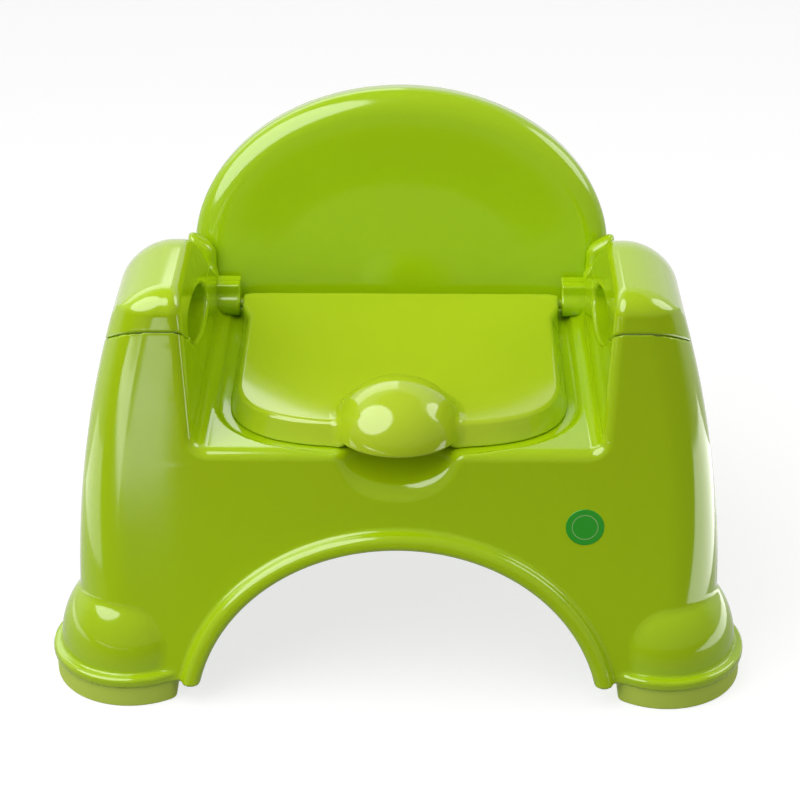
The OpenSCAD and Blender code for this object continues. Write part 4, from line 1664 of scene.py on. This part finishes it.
@dataclass(frozen=True)
class Studio:
    """White surround, lamps, floor and camera; lengths in metres, the camera's own in mm."""

    ambient: float = 0.42
    dim: float = 0.3
    behind_span: Pair = (-0.25, 0.3)
    zenith_span: Pair = (0.80, 0.88)
    floor_hw: float = 6.0
    floor_rough: float = 0.9
    floor_glow: float = 0.74
    floor_tones: Pair = (0.34, 0.05)
    floor_mirror: Pair = (0.05, 0.9)
    mirror_span: Pair = (-0.30, 0.05)
    lens: float = 98.1
    sensor_w: float = 36.0
    eye: Triple = (0.012, -1.134, 0.720)
    aim: Triple = (0.0012, -0.100, 0.171)

    def world(self) -> None:
        """White for the camera, white behind and dim in front for mirror images, softer as a light."""
        world = bpy.data.worlds.new("white_surround")
        bpy.context.scene.world = world
        world.use_nodes = True
        world.node_tree.nodes.clear()
        wiring = Wiring(world.node_tree)
        path = wiring.add("ShaderNodeLightPath").outputs
        way = wiring.add("ShaderNodeTexCoord").outputs["Generated"]
        sight = wiring.add("ShaderNodeSeparateXYZ", {0: way}).outputs

        def lit(strength: Socket | float) -> Socket:
            """White light of a strength."""
            feeds = {"Color": WHITE, "Strength": strength}
            return wiring.add("ShaderNodeBackground", feeds).outputs[0]

        def choose(by: Socket, plain: Socket, other: Socket) -> Socket:
            """One light or another."""
            return wiring.add("ShaderNodeMixShader", {0: by, 1: plain, 2: other}).outputs[0]

        behind = wiring.ramp(sight["Y"], self.behind_span, (0.0, 1.0 - self.dim), "SMOOTHSTEP")
        below = wiring.ramp(sight["Z"], self.zenith_span, (1.0, 0.0), "SMOOTHSTEP")
        mirrored = wiring.math("MULTIPLY_ADD", behind, below, self.dim)
        shown = choose(path["Is Glossy Ray"], lit(self.ambient), lit(mirrored))
        clear = wiring.math("MAXIMUM", path["Is Camera Ray"], path["Is Transmission Ray"])
        wiring.add("ShaderNodeOutputWorld", {"Surface": choose(clear, shown, lit(1.0))})

    def floor(self) -> None:
        """Pale floor that glows enough to be white and keeps a faint shadow."""
        mesh = bpy.data.meshes.new("floor")
        r = self.floor_hw
        mesh.from_pydata([(-r, -r, 0), (r, -r, 0), (r, r, 0), (-r, r, 0)], [], [(0, 1, 2, 3)])
        material = bpy.data.materials.new("white_floor")
        material.use_nodes = True
        wiring = Wiring(material.node_tree)
        path = wiring.add("ShaderNodeLightPath").outputs
        place = wiring.add("ShaderNodeTexCoord").outputs["Object"]
        along = wiring.add("ShaderNodeSeparateXYZ", {0: place}).outputs["Y"]
        mirror = wiring.ramp(along, self.mirror_span, self.floor_mirror)
        mirror = wiring.math("MULTIPLY", path["Is Glossy Ray"], mirror)
        clear = wiring.math("MAXIMUM", path["Is Camera Ray"], path["Is Transmission Ray"])
        wiring.feed(
            material.node_tree.nodes["Principled BSDF"],
            {
                "Base Color": wiring.ramp(path["Is Glossy Ray"], (0.0, 1.0), self.floor_tones),
                "Roughness": self.floor_rough,
                "Specular IOR Level": 0.0,
                "Emission Color": WHITE,
                "Emission Strength": wiring.math("MULTIPLY_ADD", clear, self.floor_glow, mirror),
            },
        )
        mesh.materials.append(material)
        in_scene("floor", mesh)

    def camera(self) -> None:
        """Camera in front, looking down."""
        lens = bpy.data.cameras.new("camera")
        lens.lens = self.lens
        lens.sensor_width = self.sensor_w
        holder = in_scene("camera", lens)
        holder.location = self.eye
        holder.rotation_euler = facing(self.eye, self.aim)
        bpy.context.scene.camera = holder

    def lamps(self) -> list[Softbox]:
        """Lists the lamps and the cards.

        Returns:
            The lamps and the cards, not built yet.
        """
        fill, card = Use.FILL, Use.CARD
        return [
            Softbox("window_left", (-0.70, -0.46, 0.98), (1.30, 1.30), 2.2, fill, oval=True),
            Softbox("window_right", (1.10, 0.18, 0.92), (0.95, 0.95), 1.3, fill, oval=True),
            Softbox("sky", (0.0, -0.15, 1.60), (1.40, 1.40), 0.75, fill),
            Softbox("card_window", (-0.69, -0.453, 0.967), (1.28, 1.28), 5.8, card, oval=True),
            Softbox("card_beside", (1.08, 0.177, 0.906), (0.80, 0.80), 4.6, card, oval=True),
            Softbox("card_back", (-1.40, 1.50, 1.40), (2.80, 0.88), 2.1, card, aim=(-1.40, 0.0, 0.12)),
            floor_card("card_front", -0.269, -0.567, (0.182, 0.032), 5.0),
            floor_card("card_corner", -0.58, -0.5775, (0.44, 0.125), 5.0),
            floor_card("card_left", -0.52, -0.08, (0.30, 0.30), 1.6),
            floor_card("card_right", 0.48, -0.05, (0.40, 0.40), 3.2),
        ]

    def build(self) -> None:
        """Sets up the surround, the floor, the lamps and the camera."""
        self.world()
        self.floor()
        for lamp in self.lamps():
            lamp.build()
        self.camera()
        bpy.context.scene.view_settings.view_transform = "Standard"


def main() -> None:
    """Builds the chair and the studio."""
    logging.basicConfig(level=logging.INFO, format="%(name)s %(message)s")
    Chair().build()
    Studio().build()


if __name__ == "__main__":
    main()
